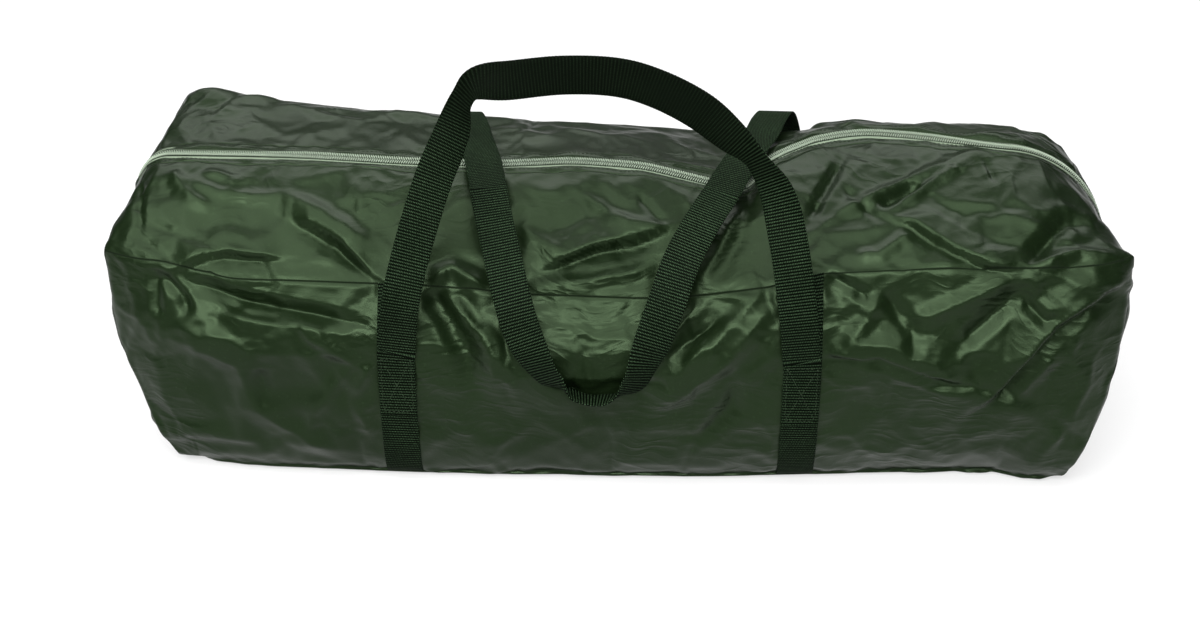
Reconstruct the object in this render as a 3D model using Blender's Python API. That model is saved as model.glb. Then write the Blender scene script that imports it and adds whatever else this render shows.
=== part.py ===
"""A tipi tent packed in its carry bag: a zipped nylon holdall with two webbing handles.

Units are metres, +Z is up, +X runs along the bag and -Y is the front.
The origin is on the floor under the middle of the bag.
"""
import math

import bmesh
import bpy
from mathutils import Vector

# Clearances
gap = 0.0003
seam_gap = 0.0003
hinge_gap = 0.0009

# Bag
bag_length = 0.822
bag_depth = 0.310
bag_height = 0.245
fabric_thickness = 0.0010
end_bulge = 0.014

# Zip: the chain lies in a slot between the two top panels, on tapes under their hems
slot_width = 0.0112
band_width = 0.036
tape_thickness = 0.0006
tape_width = 0.0140
chain_width = 0.0074
coil_height = 0.0022
row_spacing = 0.0018
end_arc_radius = 0.093
end_arc_inset = 0.006
end_arc_drop = 0.55
corner_arc_radius = 0.027
corner_arc_inset = 0.012
corner_arc_drop = 0.009
zip_offset = 0.005
end_tab_width = 0.024
end_tab_thickness = 0.0012

# Slider and its pull
slider_length = 0.0130
slider_wall = 0.0010
slider_plate = 0.0012
slider_post_width = 0.0011
slider_post_length = 0.0045
under_clearance = 0.0008
slider_angle = math.radians(-13.0)
lug_length = 0.0042
lug_thickness = 0.0010
pin_radius = 0.0008
pin_height = 0.0026
eye_wall = 0.0009
pull_length = 0.0220
pull_width = 0.0060
pull_thickness = 0.0014

# Webbing
web_width = 0.030
web_thickness = 0.0014
left_strap_x = -0.172
right_strap_x = 0.149
handle_stations = 44
loop_stations = 34
strand_stations = 14

# Contents
roll_radius = 0.070
roll_length = 0.660
roll_edge = 0.008
roll_spacing = 0.001
tie_width = 0.020
tie_thickness = 0.0012
tie_distance = 0.400
pole_radius = 0.0095
pole_wall = 0.0010
pole_length = 0.560
spigot_length = 0.060
spigot_step = 0.0013
sleeve_wall = 0.0010
sleeve_length = 0.650
foot_length = 0.024
tip_length = 0.030
tip_radius = 0.0035
peg_radius = 0.0022
peg_length = 0.175
peg_hook = 0.005
pegs_in_a_row = 6
peg_rows = 2
pouch_length = 0.205
pouch_wall = 0.0010
pouch_x = 0.205

half_length = bag_length / 2
half_depth = bag_depth / 2
floor_clearance = web_thickness + gap
end_arc_x = half_length - end_arc_inset - end_arc_radius
end_arc_z = bag_height - end_arc_radius
corner_arc_x = -(half_length - corner_arc_inset - corner_arc_radius)
corner_arc_z = bag_height - corner_arc_drop - corner_arc_radius

# The bag's section, drawn from photographed points. Each line runs along the bag: pairs of
# a place (share of half the length) and a value (share of half the depth, or of the height).
front_seam_y = ((-1, -0.68), (-0.92, -0.77), (-0.73, -0.82), (0, -0.83), (0.73, -0.82), (0.92, -0.77),
                (1, -0.65))
front_seam_z = ((-1, 0.78), (-0.88, 0.78), (-0.75, 0.735), (-0.36, 0.725), (-0.15, 0.70), (0.07, 0.695),
                (0.27, 0.735), (0.41, 0.80), (0.70, 0.825), (1, 0.83))
upper_front_y = ((-1, -0.74), (-0.88, -0.90), (-0.61, -0.97), (0, -1.0), (0.61, -0.98), (0.88, -0.92),
                 (1, -0.74))
lower_front_y = ((-0.95, -0.77), (-0.88, -0.90), (-0.61, -0.975), (0, -1.0), (0.61, -0.975), (0.88, -0.93),
                 (1, -0.78))
front_foot_y = ((-0.90, -0.81), (-0.73, -0.88), (-0.36, -0.91), (0.15, -0.89), (0.55, -0.82), (0.75, -0.79),
                (0.84, -0.84), (0.90, -0.84))
rear_foot_y = ((-0.90, 0.80), (-0.5, 0.88), (0, 0.90), (0.5, 0.88), (0.90, 0.80))
lower_rear_y = ((-1, 0.78), (-0.88, 0.92), (-0.5, 0.99), (0, 1.0), (0.5, 0.99), (0.88, 0.92), (1, 0.78))
upper_rear_y = ((-1, 0.74), (-0.88, 0.90), (-0.5, 0.97), (0, 0.98), (0.5, 0.97), (0.88, 0.90), (1, 0.74))
rear_seam_y = ((-1, 0.68), (-0.88, 0.82), (-0.5, 0.87), (0, 0.88), (0.5, 0.87), (0.88, 0.80), (1, 0.66))
rear_seam_z = ((-1, 0.80), (-0.85, 0.82), (-0.5, 0.76), (0, 0.74), (0.5, 0.76), (0.88, 0.76), (1, 0.66))
shoulder_y = ((-1, 0.50), (-0.88, 0.61), (0, 0.61), (0.88, 0.60), (1, 0.46))
shoulder_z = ((-0.96, 0.955), (-0.88, 1.005), (-0.82, 0.985), (-0.67, 0.943), (-0.24, 0.906), (-0.03, 0.886),
              (0.13, 0.860), (0.30, 0.866), (0.50, 0.894), (0.70, 0.91), (0.81, 0.898), (0.86, 0.88),
              (0.92, 0.82), (0.97, 0.74))
zip_y = ((-1, -0.15), (-0.88, -0.11), (-0.70, -0.10), (-0.10, -0.10), (0.16, -0.15), (0.25, -0.16),
         (0.305, -0.01), (0.37, 0.13), (0.44, 0.23), (0.50, 0.24), (0.62, 0.16))
zip_z = ((-0.905, 0.963), (-0.64, 0.959), (-0.40, 0.943), (-0.24, 0.941), (-0.10, 0.955), (0.04, 0.949),
         (0.16, 0.912), (0.245, 0.890), (0.30, 0.952), (0.37, 0.966), (0.46, 0.976), (0.61, 0.988))
# Where the side panels end, round the section: share of half the length at each section point
left_end = ((0, 1.0), (1, 0.993), (2, 0.95), (3, 0.893), (4, 0.88), (5, 0.88), (6, 0.893), (7, 0.95),
            (8, 0.985), (9, 0.985), (10, 0.925), (11, 0.944), (12, 0.944), (13, 0.978), (14, 1.0))
right_end = ((0, 0.995), (1, 0.983), (2, 0.954), (3, 0.905), (4, 0.89), (5, 0.89), (6, 0.905), (7, 0.95),
             (8, 0.973), (9, 0.985), (10, 0.954), (11, 0.925), (12, 0.925), (13, 0.963), (14, 0.995))
upper_level = 0.527
lower_level = 0.298
foot_level = 0.057
foot_radius = 0.020
front_crown = 0.009

# Section places, counted round from the front seam: down the front, under, up the rear, over the top
side_places = (0, 0.2, 0.4, 0.6, 0.8, 1, 1.25, 1.5, 2, 2.5, 3, 3.4)
slot_half = 0.5 * slot_width / band_width
top_places = (9, 9.5, 10, 10.5, 11, 11.5 - slot_half, 11.5 + slot_half, 12, 12.5, 13, 13.5, 14)
under_places = (3.4, 4, 4.17, 4.33, 4.425, 4.477, 4.523, 4.575, 4.67, 4.83, 5, 5.6)
sides = len(side_places) - 1
across = len(top_places) - 1
ring = 2 * (sides + across)
slot_column = 5
slit_row = 4
patch_top = side_places.index(1)
patch_foot = side_places.index(2)
# Stations between the base straps and outside them, as shares of half the length
mid_stations = (-0.83, -0.73, -0.63, -0.535, -0.315, -0.245, -0.17, -0.10, -0.025, 0.05, 0.12, 0.195, 0.255,
                0.295, 0.485, 0.57, 0.655, 0.735)
left_steps = 4
right_steps = 7

# Handle routes: points chosen by hand along the middle of the webbing, with its twist in degrees.
# Those of the front handle and of the rear handle's loop are measured from their hinge lines, and
# those of the two strands from the top edge of the box round the bag, at the rear.
front_handle_route = (
    (-0.171, 0.000, 0, 0), (-0.166, 0.000, 0.046, 0), (-0.157, 0.012, 0.085, 0), (-0.141, 0.028, 0.136, 0),
    (-0.125, 0.038, 0.175, -20), (-0.117, 0.043, 0.201, -52), (-0.106, 0.046, 0.213, -40),
    (-0.080, 0.046, 0.216, -10), (-0.040, 0.048, 0.220, 0), (0.000, 0.048, 0.219, 0),
    (0.031, 0.046, 0.211, 0), (0.0625, 0.042, 0.196, 0), (0.087, 0.038, 0.177, 22),
    (0.1075, 0.033, 0.159, 50), (0.124, 0.027, 0.134, 25), (0.1345, 0.013, 0.096, 0),
    (0.1435, 0.000, 0.042, 0), (0.148, 0.000, 0, 0))
loop_hinge_y = -0.072
loop_hinge_z = bag_height - 0.009
left_strand_route = ((-0.171, -0.0005, -0.111, 0), (-0.164, -0.008, -0.077, 20), (-0.153, -0.0245, -0.0465, 38),
                     (-0.141, -0.0495, -0.0235, 63), (-0.132, -0.0855, -0.0138, 84), (-0.122, -0.1335, -0.009, 88),
                     (-0.111, -0.1835, -0.006, 94), (-0.103, loop_hinge_y - half_depth, loop_hinge_z - bag_height, 118))
right_strand_route = ((0.148, -0.0005, -0.111, 0), (0.1455, -0.0045, -0.077, 18), (0.140, -0.0165, -0.046, 42),
                      (0.133, -0.0485, -0.0185, 66), (0.125, -0.0835, -0.009, 78), (0.116, -0.1285, -0.004, 86),
                      (0.100, -0.1785, -0.002, 92), (0.083, loop_hinge_y - half_depth, loop_hinge_z - bag_height, 118))
rear_loop_route = (
    (-0.103, 0.000, 0, -24), (-0.097, -0.026, -0.012, -28), (-0.089, -0.053, -0.028, -42),
    (-0.079, -0.083, -0.052, -62), (-0.069, -0.096, -0.080, -80), (-0.054, -0.099, -0.110, -84),
    (-0.034, -0.099, -0.129, -84), (-0.010, -0.099, -0.135, -84), (0.014, -0.099, -0.124, -84),
    (0.028, -0.096, -0.092, -82), (0.041, -0.084, -0.056, -66), (0.052, -0.062, -0.030, -44),
    (0.067, -0.032, -0.012, -28), (0.083, 0.000, 0, -24))
loop_twist = ((0, 0), (0.30, 0), (0.40, 35), (0.47, 82), (0.55, 82), (0.64, 40), (0.74, 0), (1, 0))

for old in list(bpy.data.objects):
    bpy.data.objects.remove(old, do_unlink=True)


def slopes(points):
    """Tangents that keep a curve through the points free of overshoot."""
    steps = [(b[1] - a[1]) / (b[0] - a[0]) for a, b in zip(points, points[1:])]
    out = [steps[0]]
    for before, after in zip(steps, steps[1:]):
        out.append(0.0 if before * after <= 0 else 2 * before * after / (before + after))
    out.append(steps[-1])
    return out


def read(points, place, tangents=None):
    """Value of a smooth line through the points at a place, held flat past its ends."""
    if place <= points[0][0]:
        return points[0][1]
    if place >= points[-1][0]:
        return points[-1][1]
    tangents = tangents or slopes(points)
    for k in range(len(points) - 1):
        if place <= points[k + 1][0]:
            break
    (x0, y0), (x1, y1) = points[k], points[k + 1]
    h = x1 - x0
    u = (place - x0) / h
    a = (1 + 2 * u) * (1 - u) ** 2
    b = u * (1 - u) ** 2
    c = u * u * (3 - 2 * u)
    d = u * u * (u - 1)
    return a * y0 + b * h * tangents[k] + c * y1 + d * h * tangents[k + 1]


def zip_centre(x):
    """Where the zip's chain crosses the section at x: (y, z) of the fabric's level there."""
    share = x / half_length
    y = zip_offset if x >= end_arc_x else half_depth * read(zip_y + (
        (end_arc_x / half_length, zip_offset / half_depth),), share)
    if x > end_arc_x:
        reach = min(x - end_arc_x, end_arc_radius)
        return y, end_arc_z + math.sqrt(end_arc_radius ** 2 - reach ** 2)
    if x < corner_arc_x:
        reach = min(corner_arc_x - x, corner_arc_radius)
        return y, corner_arc_z + math.sqrt(corner_arc_radius ** 2 - reach ** 2)
    line = ((corner_arc_x / half_length, (corner_arc_z + corner_arc_radius) / bag_height),) + zip_z[1:]
    return y, bag_height * read(line + ((end_arc_x / half_length, 1.0),), share)


def section(x):
    """The fifteen points that shape the bag's section at x, from the front seam round to it again."""
    share = x / half_length
    level = [upper_level * bag_height, lower_level * bag_height, foot_level * bag_height]
    seam = (half_depth * read(front_seam_y, share), bag_height * read(front_seam_z, share))
    foot = half_depth * read(front_foot_y, share)
    rear_foot = half_depth * read(rear_foot_y, share)
    y, z = zip_centre(x)
    front_edge = (y - band_width / 2, z)
    rear_edge = (y + band_width / 2, z)
    crown = ((front_edge[0] + seam[0]) / 2, (z + seam[1]) / 2 + front_crown)
    return [seam, (half_depth * read(upper_front_y, share), level[0]),
            (half_depth * read(lower_front_y, share), level[1]), (foot, level[2]),
            (foot + foot_radius, floor_clearance), (rear_foot - foot_radius, floor_clearance),
            (rear_foot, level[2]), (half_depth * read(lower_rear_y, share), level[1]),
            (half_depth * read(upper_rear_y, share), level[0]),
            (half_depth * read(rear_seam_y, share), bag_height * read(rear_seam_z, share)),
            (half_depth * read(shoulder_y, share), bag_height * read(shoulder_z, share)),
            rear_edge, front_edge, crown, seam]


def straight(points, place):
    """Place on the line between two neighbouring section points."""
    k = int(place)
    u = place - k
    return points[k][0] * (1 - u) + points[k + 1][0] * u, points[k][1] * (1 - u) + points[k + 1][1] * u


def bag_point(x, place):
    """Point of the bag's outer face at x and a section place. Floor and zip band are flat."""
    points = section(x)
    if 4 <= place <= 5 or 11 <= place <= 12:
        y, z = straight(points, place)
        return Vector((x, y, z))
    first, last = (0, 4) if place < 4 else (5, 11) if place < 11 else (12, 14)
    ys = [(k, points[k][0]) for k in range(first, last + 1)]
    zs = [(k, points[k][1]) for k in range(first, last + 1)]
    z_tangents = slopes(zs)
    if first:
        z_tangents[0] = 0.0
    if last < 14:
        z_tangents[-1] = 0.0
    return Vector((x, read(ys, place), read(zs, place, z_tangents)))


def station_list():
    """Stations along the middle of the bag, with three at each base strap."""
    places = [share * half_length for share in mid_stations]
    for centre in (left_strap_x, right_strap_x):
        places += [centre - web_width / 2, centre, centre + web_width / 2]
    return sorted(places)


places_round = list(side_places) + list(under_places[1:])
places_round += [9 - p for p in reversed(side_places[:-1])] + list(top_places[1:-1])
middle = station_list()
columns = left_steps + len(middle) + right_steps


def tube_x(i, place):
    """X of tube station i at a section place: the last steps at each end stretch to the end seams."""
    if i < left_steps:
        end = -half_length * read(left_end, place)
        return end + (middle[0] - end) * i / left_steps
    if i < left_steps + len(middle):
        return middle[i - left_steps]
    end = half_length * read(right_end, place)
    return middle[-1] + (end - middle[-1]) * (i - left_steps - len(middle) + 1) / right_steps


def end_face_x(side, z):
    """X of the end face along the zip's band at height z. It is upright below its arc."""
    if side > 0:
        rise = max(-end_arc_drop * end_arc_radius, min(end_arc_radius, z - end_arc_z))
        return end_arc_x + math.sqrt(end_arc_radius ** 2 - rise ** 2)
    rise = max(0.0, min(corner_arc_radius, z - corner_arc_z))
    return corner_arc_x - math.sqrt(corner_arc_radius ** 2 - rise ** 2)


def ease(u):
    u = max(0.0, min(1.0, u))
    return u * u * (3 - 2 * u)


points = []
tube_ids = []
for i in range(columns):
    row = []
    for place in places_round:
        row.append(len(points))
        points.append(bag_point(tube_x(i, place), place))
    tube_ids.append(row)


def end_grid(side):
    """Ids of an end panel's grid, rows from the floor to the top and columns from front to rear."""
    ids = tube_ids[0] if side < 0 else tube_ids[-1]
    grid = [[None] * (across + 1) for _ in range(sides + 1)]
    for r in range(sides + 1):
        grid[r][0] = ids[sides - r]
        grid[r][across] = ids[sides + across + r]
    for c in range(across + 1):
        grid[0][c] = ids[sides + c]
        grid[sides][c] = ids[(ring - c) % ring]
    for r in range(1, sides):
        for c in range(1, across):
            v = r / sides
            front, rear = points[grid[r][0]], points[grid[r][across]]
            under, over = points[grid[0][c]], points[grid[sides][c]]
            u = (over.y * v + under.y * (1 - v) - front.y) / (rear.y - front.y)
            low = points[grid[0][0]].lerp(points[grid[0][across]], u)
            high = points[grid[sides][0]].lerp(points[grid[sides][across]], u)
            point = front.lerp(rear, u) + under.lerp(over, v) - low.lerp(high, v)
            point.x += side * end_bulge * 16 * u * (1 - u) * v * (1 - v)
            settled = ease(r / (slit_row - 1))
            point.y = under.y * (1 - settled) + over.y * settled
            zip_line = points[grid[sides][slot_column]].lerp(points[grid[sides][slot_column + 1]], 0.5).y
            aside = abs(over.y - zip_line) - band_width / 2
            near = (1 - ease(aside / band_width)) * ease((r - 1) / (slit_row - 2))
            point.x += near * (end_face_x(side, point.z) - point.x)
            grid[r][c] = len(points)
            points.append(point)
    return grid


left_grid = end_grid(-1)
right_grid = end_grid(1)

faces = []
for i in range(columns - 1):
    for j in range(ring):
        nxt = (j + 1) % ring
        quad = (tube_ids[i][j], tube_ids[i][nxt], tube_ids[i + 1][nxt], tube_ids[i + 1][j])
        k = j - (2 * sides + across)
        panel = "lower_panel" if k < 0 else "rear_top_panel" if k < slot_column else "front_top_panel"
        if k == slot_column:
            panel = "slot"
        faces.append((quad, panel))
for grid, panel, flip in ((left_grid, "left_end_panel", True), (right_grid, "right_end_panel", False)):
    for r in range(sides):
        for c in range(across):
            quad = (grid[r][c], grid[r][c + 1], grid[r + 1][c + 1], grid[r + 1][c])
            if flip:
                quad = tuple(reversed(quad))
            faces.append((quad, "slot" if c == slot_column and r >= slit_row else panel))


def quad_normal(quad):
    a, b, c, d = (points[v] for v in quad)
    return (c - a).cross(d - b).normalized()


around = [[] for _ in points]
for quad, _ in faces:
    normal = quad_normal(quad)
    for v in quad:
        around[v].append(normal)


def offset_direction(normals):
    """Direction whose unit step moves a vertex one unit off each face round it."""
    total = Vector((0, 0, 0))
    for normal in normals:
        total += normal
    total.normalize()
    nearest = min(total.dot(normal) for normal in normals)
    return total / max(nearest, 0.6)


outward = [offset_direction(normals) for normals in around]


def material(name, colour, roughness, metallic=0.0):
    made = bpy.data.materials.get(name) or bpy.data.materials.new(name)
    made.use_nodes = True
    shader = made.node_tree.nodes["Principled BSDF"]
    shader.inputs["Base Color"].default_value = (*colour, 1.0)
    shader.inputs["Roughness"].default_value = roughness
    shader.inputs["Metallic"].default_value = metallic
    return made


nylon = (0.075, 0.115, 0.055), 0.32
webbing = (0.012, 0.022, 0.010), 0.7
zip_grey = (0.30, 0.37, 0.27), 0.55
cloth = (0.20, 0.22, 0.15), 0.85
steel = (0.55, 0.56, 0.57), 0.3, 1.0
rubber = (0.02, 0.02, 0.02), 0.8


def add_object(name, verts, polygons, finish, origin=None):
    """Add a closed mesh as a named object, with its origin on its joint's axis where it has one."""
    mesh = bpy.data.meshes.new(name)
    place = Vector(origin) if origin else Vector((0, 0, 0))
    mesh.from_pydata([tuple(Vector(v) - place) for v in verts], [], polygons)
    mesh.update()
    made = bpy.data.objects.new(name, mesh)
    made.location = place
    bpy.context.scene.collection.objects.link(made)
    mesh.materials.append(material(name, *finish))
    for polygon in mesh.polygons:
        polygon.use_smooth = True
    mesh.set_sharp_from_angle(angle=math.radians(35))
    return made


def two_sided(quad, below):
    """Triangles of a quad and of the one under it, cut the same way so that thin walls never cross."""
    a, b, c, d = quad
    return [(a, b, c), (a, c, d), (c + below, b + below, a + below), (d + below, c + below, a + below)]


def add_panel(name, finish):
    """One fabric panel: its faces, drawn in a hair at its edges, given the fabric's thickness."""
    own = [quad for quad, panel in faces if panel == name]
    edges = {}
    for quad in own:
        for a, b in zip(quad, quad[1:] + quad[:1]):
            edges[(a, b)] = quad
    rim = [(a, b) for a, b in edges if (b, a) not in edges]
    inward = {}
    for a, b in rim:
        middle_point = sum((points[v] for v in edges[(a, b)]), Vector()) / 4
        along = (points[b] - points[a]).normalized()
        toward = middle_point - points[a]
        toward -= along * toward.dot(along)
        for v in (a, b):
            inward.setdefault(v, []).append(toward.normalized())
    used = sorted({v for quad in own for v in quad})
    index = {v: k for k, v in enumerate(used)}
    outer = []
    inner = []
    for v in used:
        shift = Vector((0, 0, 0))
        if v in inward:
            shift = sum(inward[v], Vector()).normalized() * seam_gap / 2
            shift /= max(0.5, min(shift.normalized().dot(d) for d in inward[v]))
        outer.append(points[v] + shift)
        inner.append(points[v] + shift - outward[v] * fabric_thickness)
    count = len(used)
    polygons = []
    for quad in own:
        polygons += two_sided(tuple(index[v] for v in quad), count)
    polygons += [(index[b], index[a], index[a] + count, index[b] + count) for a, b in rim]
    return add_object(name, outer + inner, polygons, finish)


def add_slab(name, top, bottom, finish, origin=None):
    """A closed strip between two grids of points with the same rows and columns."""
    rows, width = len(top), len(top[0])
    verts = [p for row in top for p in row] + [p for row in bottom for p in row]
    below = rows * width
    polygons = []
    for r in range(rows - 1):
        for c in range(width - 1):
            a = r * width + c
            polygons += two_sided((a, a + 1, a + width + 1, a + width), below)
    rim = [(c, c + 1) for c in range(width - 1)]
    rim += [(r * width + width - 1, (r + 1) * width + width - 1) for r in range(rows - 1)]
    last = (rows - 1) * width
    rim += [(last + c + 1, last + c) for c in range(width - 1)]
    rim += [((r + 1) * width, r * width) for r in range(rows - 1)]
    polygons += [(b, a, a + below, b + below) for a, b in rim]
    made = add_object(name, verts, polygons, finish, origin)
    face_out(made)
    return made


def face_out(made):
    """Turn the faces of a closed mesh outward, by the sign of its volume."""
    mesh = made.data
    volume = 0.0
    for polygon in mesh.polygons:
        corners = [mesh.vertices[v].co for v in polygon.vertices]
        for b, c in zip(corners[1:], corners[2:]):
            volume += corners[0].dot(b.cross(c))
    if volume < 0:
        mesh.flip_normals()


for panel in ("lower_panel", "front_top_panel", "rear_top_panel", "left_end_panel", "right_end_panel"):
    add_panel(panel, nylon)


def add_wrap(name, columns_used, rows_used, lift, thickness, finish):
    """Webbing that lies on the bag, lifted off its face, over given stations and section places."""
    top = [[points[tube_ids[i][j % ring]] + outward[tube_ids[i][j % ring]] * (lift + thickness)
            for i in columns_used] for j in rows_used]
    bottom = [[points[tube_ids[i][j % ring]] + outward[tube_ids[i][j % ring]] * lift
               for i in columns_used] for j in rows_used]
    return add_slab(name, top, bottom, finish)


def strap_columns(centre):
    at = left_steps + middle.index(centre)
    return [at - 1, at, at + 1]


second_layer = 2 * gap + web_thickness
for side_name, centre in (("left", left_strap_x), ("right", right_strap_x)):
    used = strap_columns(centre)
    add_wrap("base_strap_" + side_name, used, range(0, 2 * sides + across + 1), gap, web_thickness, webbing)
    add_wrap("front_handle_end_" + side_name, used, range(patch_top, patch_foot + 1), second_layer,
             web_thickness, webbing)


def route_point(route, u):
    """Smooth point along a route of hand-placed points: position and twist at share u."""
    spans = len(route) - 1
    k = min(int(u * spans), spans - 1)
    t = u * spans - k
    p0 = Vector(route[max(k - 1, 0)])
    p1 = Vector(route[k])
    p2 = Vector(route[k + 1])
    p3 = Vector(route[min(k + 2, spans)])
    return 0.5 * (2 * p1 + (p2 - p0) * t + (2 * p0 - 5 * p1 + 4 * p2 - p3) * t * t
                  + (3 * p1 - p0 - 3 * p2 + p3) * t ** 3)


def ribbon(route, stations, facing, trims=(0, 0), rows=(-1, 1)):
    """Top and bottom grids of flat webbing along a route. facing gives its face's direction.

    Each end is cut square to X, and trims shorten it there.
    """
    samples = [route_point(route, k / (stations - 1)) for k in range(stations)]
    last = stations - 1
    top = []
    bottom = []
    for k, sample in enumerate(samples):
        before = samples[max(k - 1, 0)]
        after = samples[min(k + 1, last)]
        centre = sample.to_3d()
        tangent = after.to_3d() - before.to_3d()
        if k in (0, last):
            tangent.x = 0
        tangent.normalize()
        if k == 0:
            centre += tangent * trims[0]
        if k == last:
            centre -= tangent * trims[1]
        face = facing(k / last, sample[3], tangent)
        side = tangent.cross(face).normalized()
        face = side.cross(tangent).normalized()
        top.append([centre + face * web_thickness / 2 + side * s * web_width / 2 for s in rows])
        bottom.append([centre - face * web_thickness / 2 + side * s * web_width / 2 for s in rows])
    return top, bottom


def turned(vector, axis, degrees):
    angle = math.radians(degrees)
    return (vector * math.cos(angle) + axis.cross(vector) * math.sin(angle)
            + axis * axis.dot(vector) * (1 - math.cos(angle)))


def front_facing(share, twist, tangent):
    face = Vector((0, -1, 0.25))
    face -= tangent * face.dot(tangent)
    return turned(face.normalized(), tangent, twist)


def strand_facing(share, twist, tangent):
    angle = math.radians(twist)
    face = Vector((0, math.cos(angle), math.sin(angle)))
    return face


def loop_facing(share, tilt, tangent):
    lean = math.radians(-tilt)
    face = Vector((0, -math.sin(lean), math.cos(lean)))
    face -= tangent * face.dot(tangent)
    return turned(face.normalized(), tangent, read(loop_twist, share))


# The front handle hinges where its webbing leaves the sewn ends
sewn_tops = []
for centre in (left_strap_x, right_strap_x):
    v = tube_ids[strap_columns(centre)[1]][patch_top]
    sewn_tops.append(points[v] + outward[v] * (second_layer + web_thickness / 2))
front_hinge = Vector((0, min(top.y for top in sewn_tops), max(top.z for top in sewn_tops) + hinge_gap))
loop_hinge = Vector((0, loop_hinge_y, loop_hinge_z))
rear_top_edge = Vector((0, half_depth, bag_height))


def placed(route, origin):
    return [(p[0], p[1] + origin.y, p[2] + origin.z, p[3]) for p in route]


top, bottom = ribbon(placed(front_handle_route, front_hinge), handle_stations, front_facing, rows=(-1, 0, 1))
add_slab("front_handle", top, bottom, webbing, front_hinge)
top, bottom = ribbon(placed(rear_loop_route, loop_hinge), loop_stations, loop_facing)
add_slab("rear_handle_loop", top, bottom, webbing, loop_hinge)
for side_name, route, centre in (("left", left_strand_route, left_strap_x),
                                 ("right", right_strand_route, right_strap_x)):
    top, bottom = ribbon(placed(route, rear_top_edge), strand_stations, strand_facing, (0, hinge_gap), (1, 0, -1))
    sewn_rows = range(sides + across + sides - patch_foot, sides + across + sides - patch_top + 1)
    lower = [[points[tube_ids[i][j]] + outward[tube_ids[i][j]] * second_layer
              for i in strap_columns(centre)] for j in sewn_rows]
    upper = [[points[tube_ids[i][j]] + outward[tube_ids[i][j]] * (second_layer + web_thickness)
              for i in strap_columns(centre)] for j in sewn_rows]
    add_slab("rear_handle_strand_" + side_name, upper + top, lower + bottom, webbing)


def zip_frames():
    """Stations along the slot, from one end panel's slit over the bag to the other's.

    Each is the slot's middle on the fabric's outer face, its direction across (to the rear) and outward.
    """
    pairs = [(left_grid[r][slot_column], left_grid[r][slot_column + 1]) for r in range(slit_row - 1, sides)]
    front = 2 * sides + across + slot_column + 1
    pairs += [(row[front], row[front - 1]) for row in tube_ids]
    pairs += [(right_grid[r][slot_column], right_grid[r][slot_column + 1])
              for r in range(sides - 1, slit_row - 2, -1)]
    frames = []
    for a, b in pairs:
        frames.append((points[a].lerp(points[b], 0.5), (points[b] - points[a]).normalized(),
                       (outward[a] + outward[b]) / 2))
    return frames


frames = zip_frames()
slit_end = 1
last_slit_end = len(frames) - 2


def frame_at(place):
    k = min(int(place), len(frames) - 2)
    u = place - k
    return tuple(a.lerp(b, u) for a, b in zip(frames[k], frames[k + 1]))


def zip_point(place, aside, height):
    centre, across_zip, out = frame_at(place)
    return centre + across_zip * aside + out * height


def add_zip_strip(name, places, inner, outer, low, high, finish):
    """A strip along the zip between two distances aside and two heights off the fabric's face."""
    top = [[zip_point(k, aside, high) for aside in (inner, outer)] for k in places]
    bottom = [[zip_point(k, aside, low) for aside in (inner, outer)] for k in places]
    return add_slab(name, top, bottom, finish)


tape_top = -fabric_thickness - gap
tape_foot = tape_top - tape_thickness
coil_foot = tape_top + gap
coil_top = coil_foot + coil_height
tape_places = list(range(len(frames)))
coil_margin = 0.15
coil_places = [slit_end + coil_margin, *range(slit_end + 1, last_slit_end), last_slit_end - coil_margin]
for side_name, sign in (("front", -1), ("rear", 1)):
    add_zip_strip("zip_tape_" + side_name, tape_places, sign * row_spacing / 2,
                  sign * (row_spacing / 2 + tape_width), tape_foot, tape_top, zip_grey)
    add_zip_strip("zip_coil_" + side_name, coil_places, sign * row_spacing / 2,
                  sign * chain_width / 2, coil_foot, coil_top, zip_grey)
for side_name, places in (("left", (slit_end - 0.5, slit_end, slit_end + coil_margin / 2)),
                          ("right", (last_slit_end - coil_margin / 2, last_slit_end, last_slit_end + 0.5))):
    add_zip_strip("zip_end_tab_" + side_name, places, -end_tab_width / 2, end_tab_width / 2,
                  gap, gap + end_tab_thickness, webbing)


def box_mesh(length, width, low, high, bend_steps=1):
    """Vertices (along, aside, height) and faces of a box, cut into steps along it."""
    verts = []
    for k in range(bend_steps + 1):
        along = length[0] + (length[1] - length[0]) * k / bend_steps
        verts += [(along, width[0], low), (along, width[1], low)]
        verts += [(along, width[1], high), (along, width[0], high)]
    polygons = [(3, 2, 1, 0)]
    for k in range(bend_steps):
        a = 4 * k
        polygons += [(a + n, a + (n + 1) % 4, a + 4 + (n + 1) % 4, a + 4 + n) for n in range(4)]
    polygons.append(tuple(4 * bend_steps + n for n in range(4)))
    return verts, polygons


def cylinder_mesh(centre, radius, half_width, sides_round=12):
    """Vertices and faces of a round bar across the zip."""
    verts = []
    for aside in (-half_width, half_width):
        for k in range(sides_round):
            angle = 2 * math.pi * k / sides_round
            verts.append((centre[0] + radius * math.cos(angle), aside, centre[1] + radius * math.sin(angle)))
    polygons = [tuple(range(sides_round)), tuple(reversed(range(sides_round, 2 * sides_round)))]
    polygons += [(k, sides_round + k, sides_round + (k + 1) % sides_round, (k + 1) % sides_round)
                 for k in range(sides_round)]
    return verts, polygons


def bent(point):
    """From (along, aside, height) at the slider to the world, along the end arc."""
    angle = slider_angle + point[0] / (end_arc_radius + point[2])
    reach = end_arc_radius + point[2]
    return Vector((end_arc_x + reach * math.cos(angle), zip_offset + point[1],
                   end_arc_z + reach * math.sin(angle)))


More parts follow.
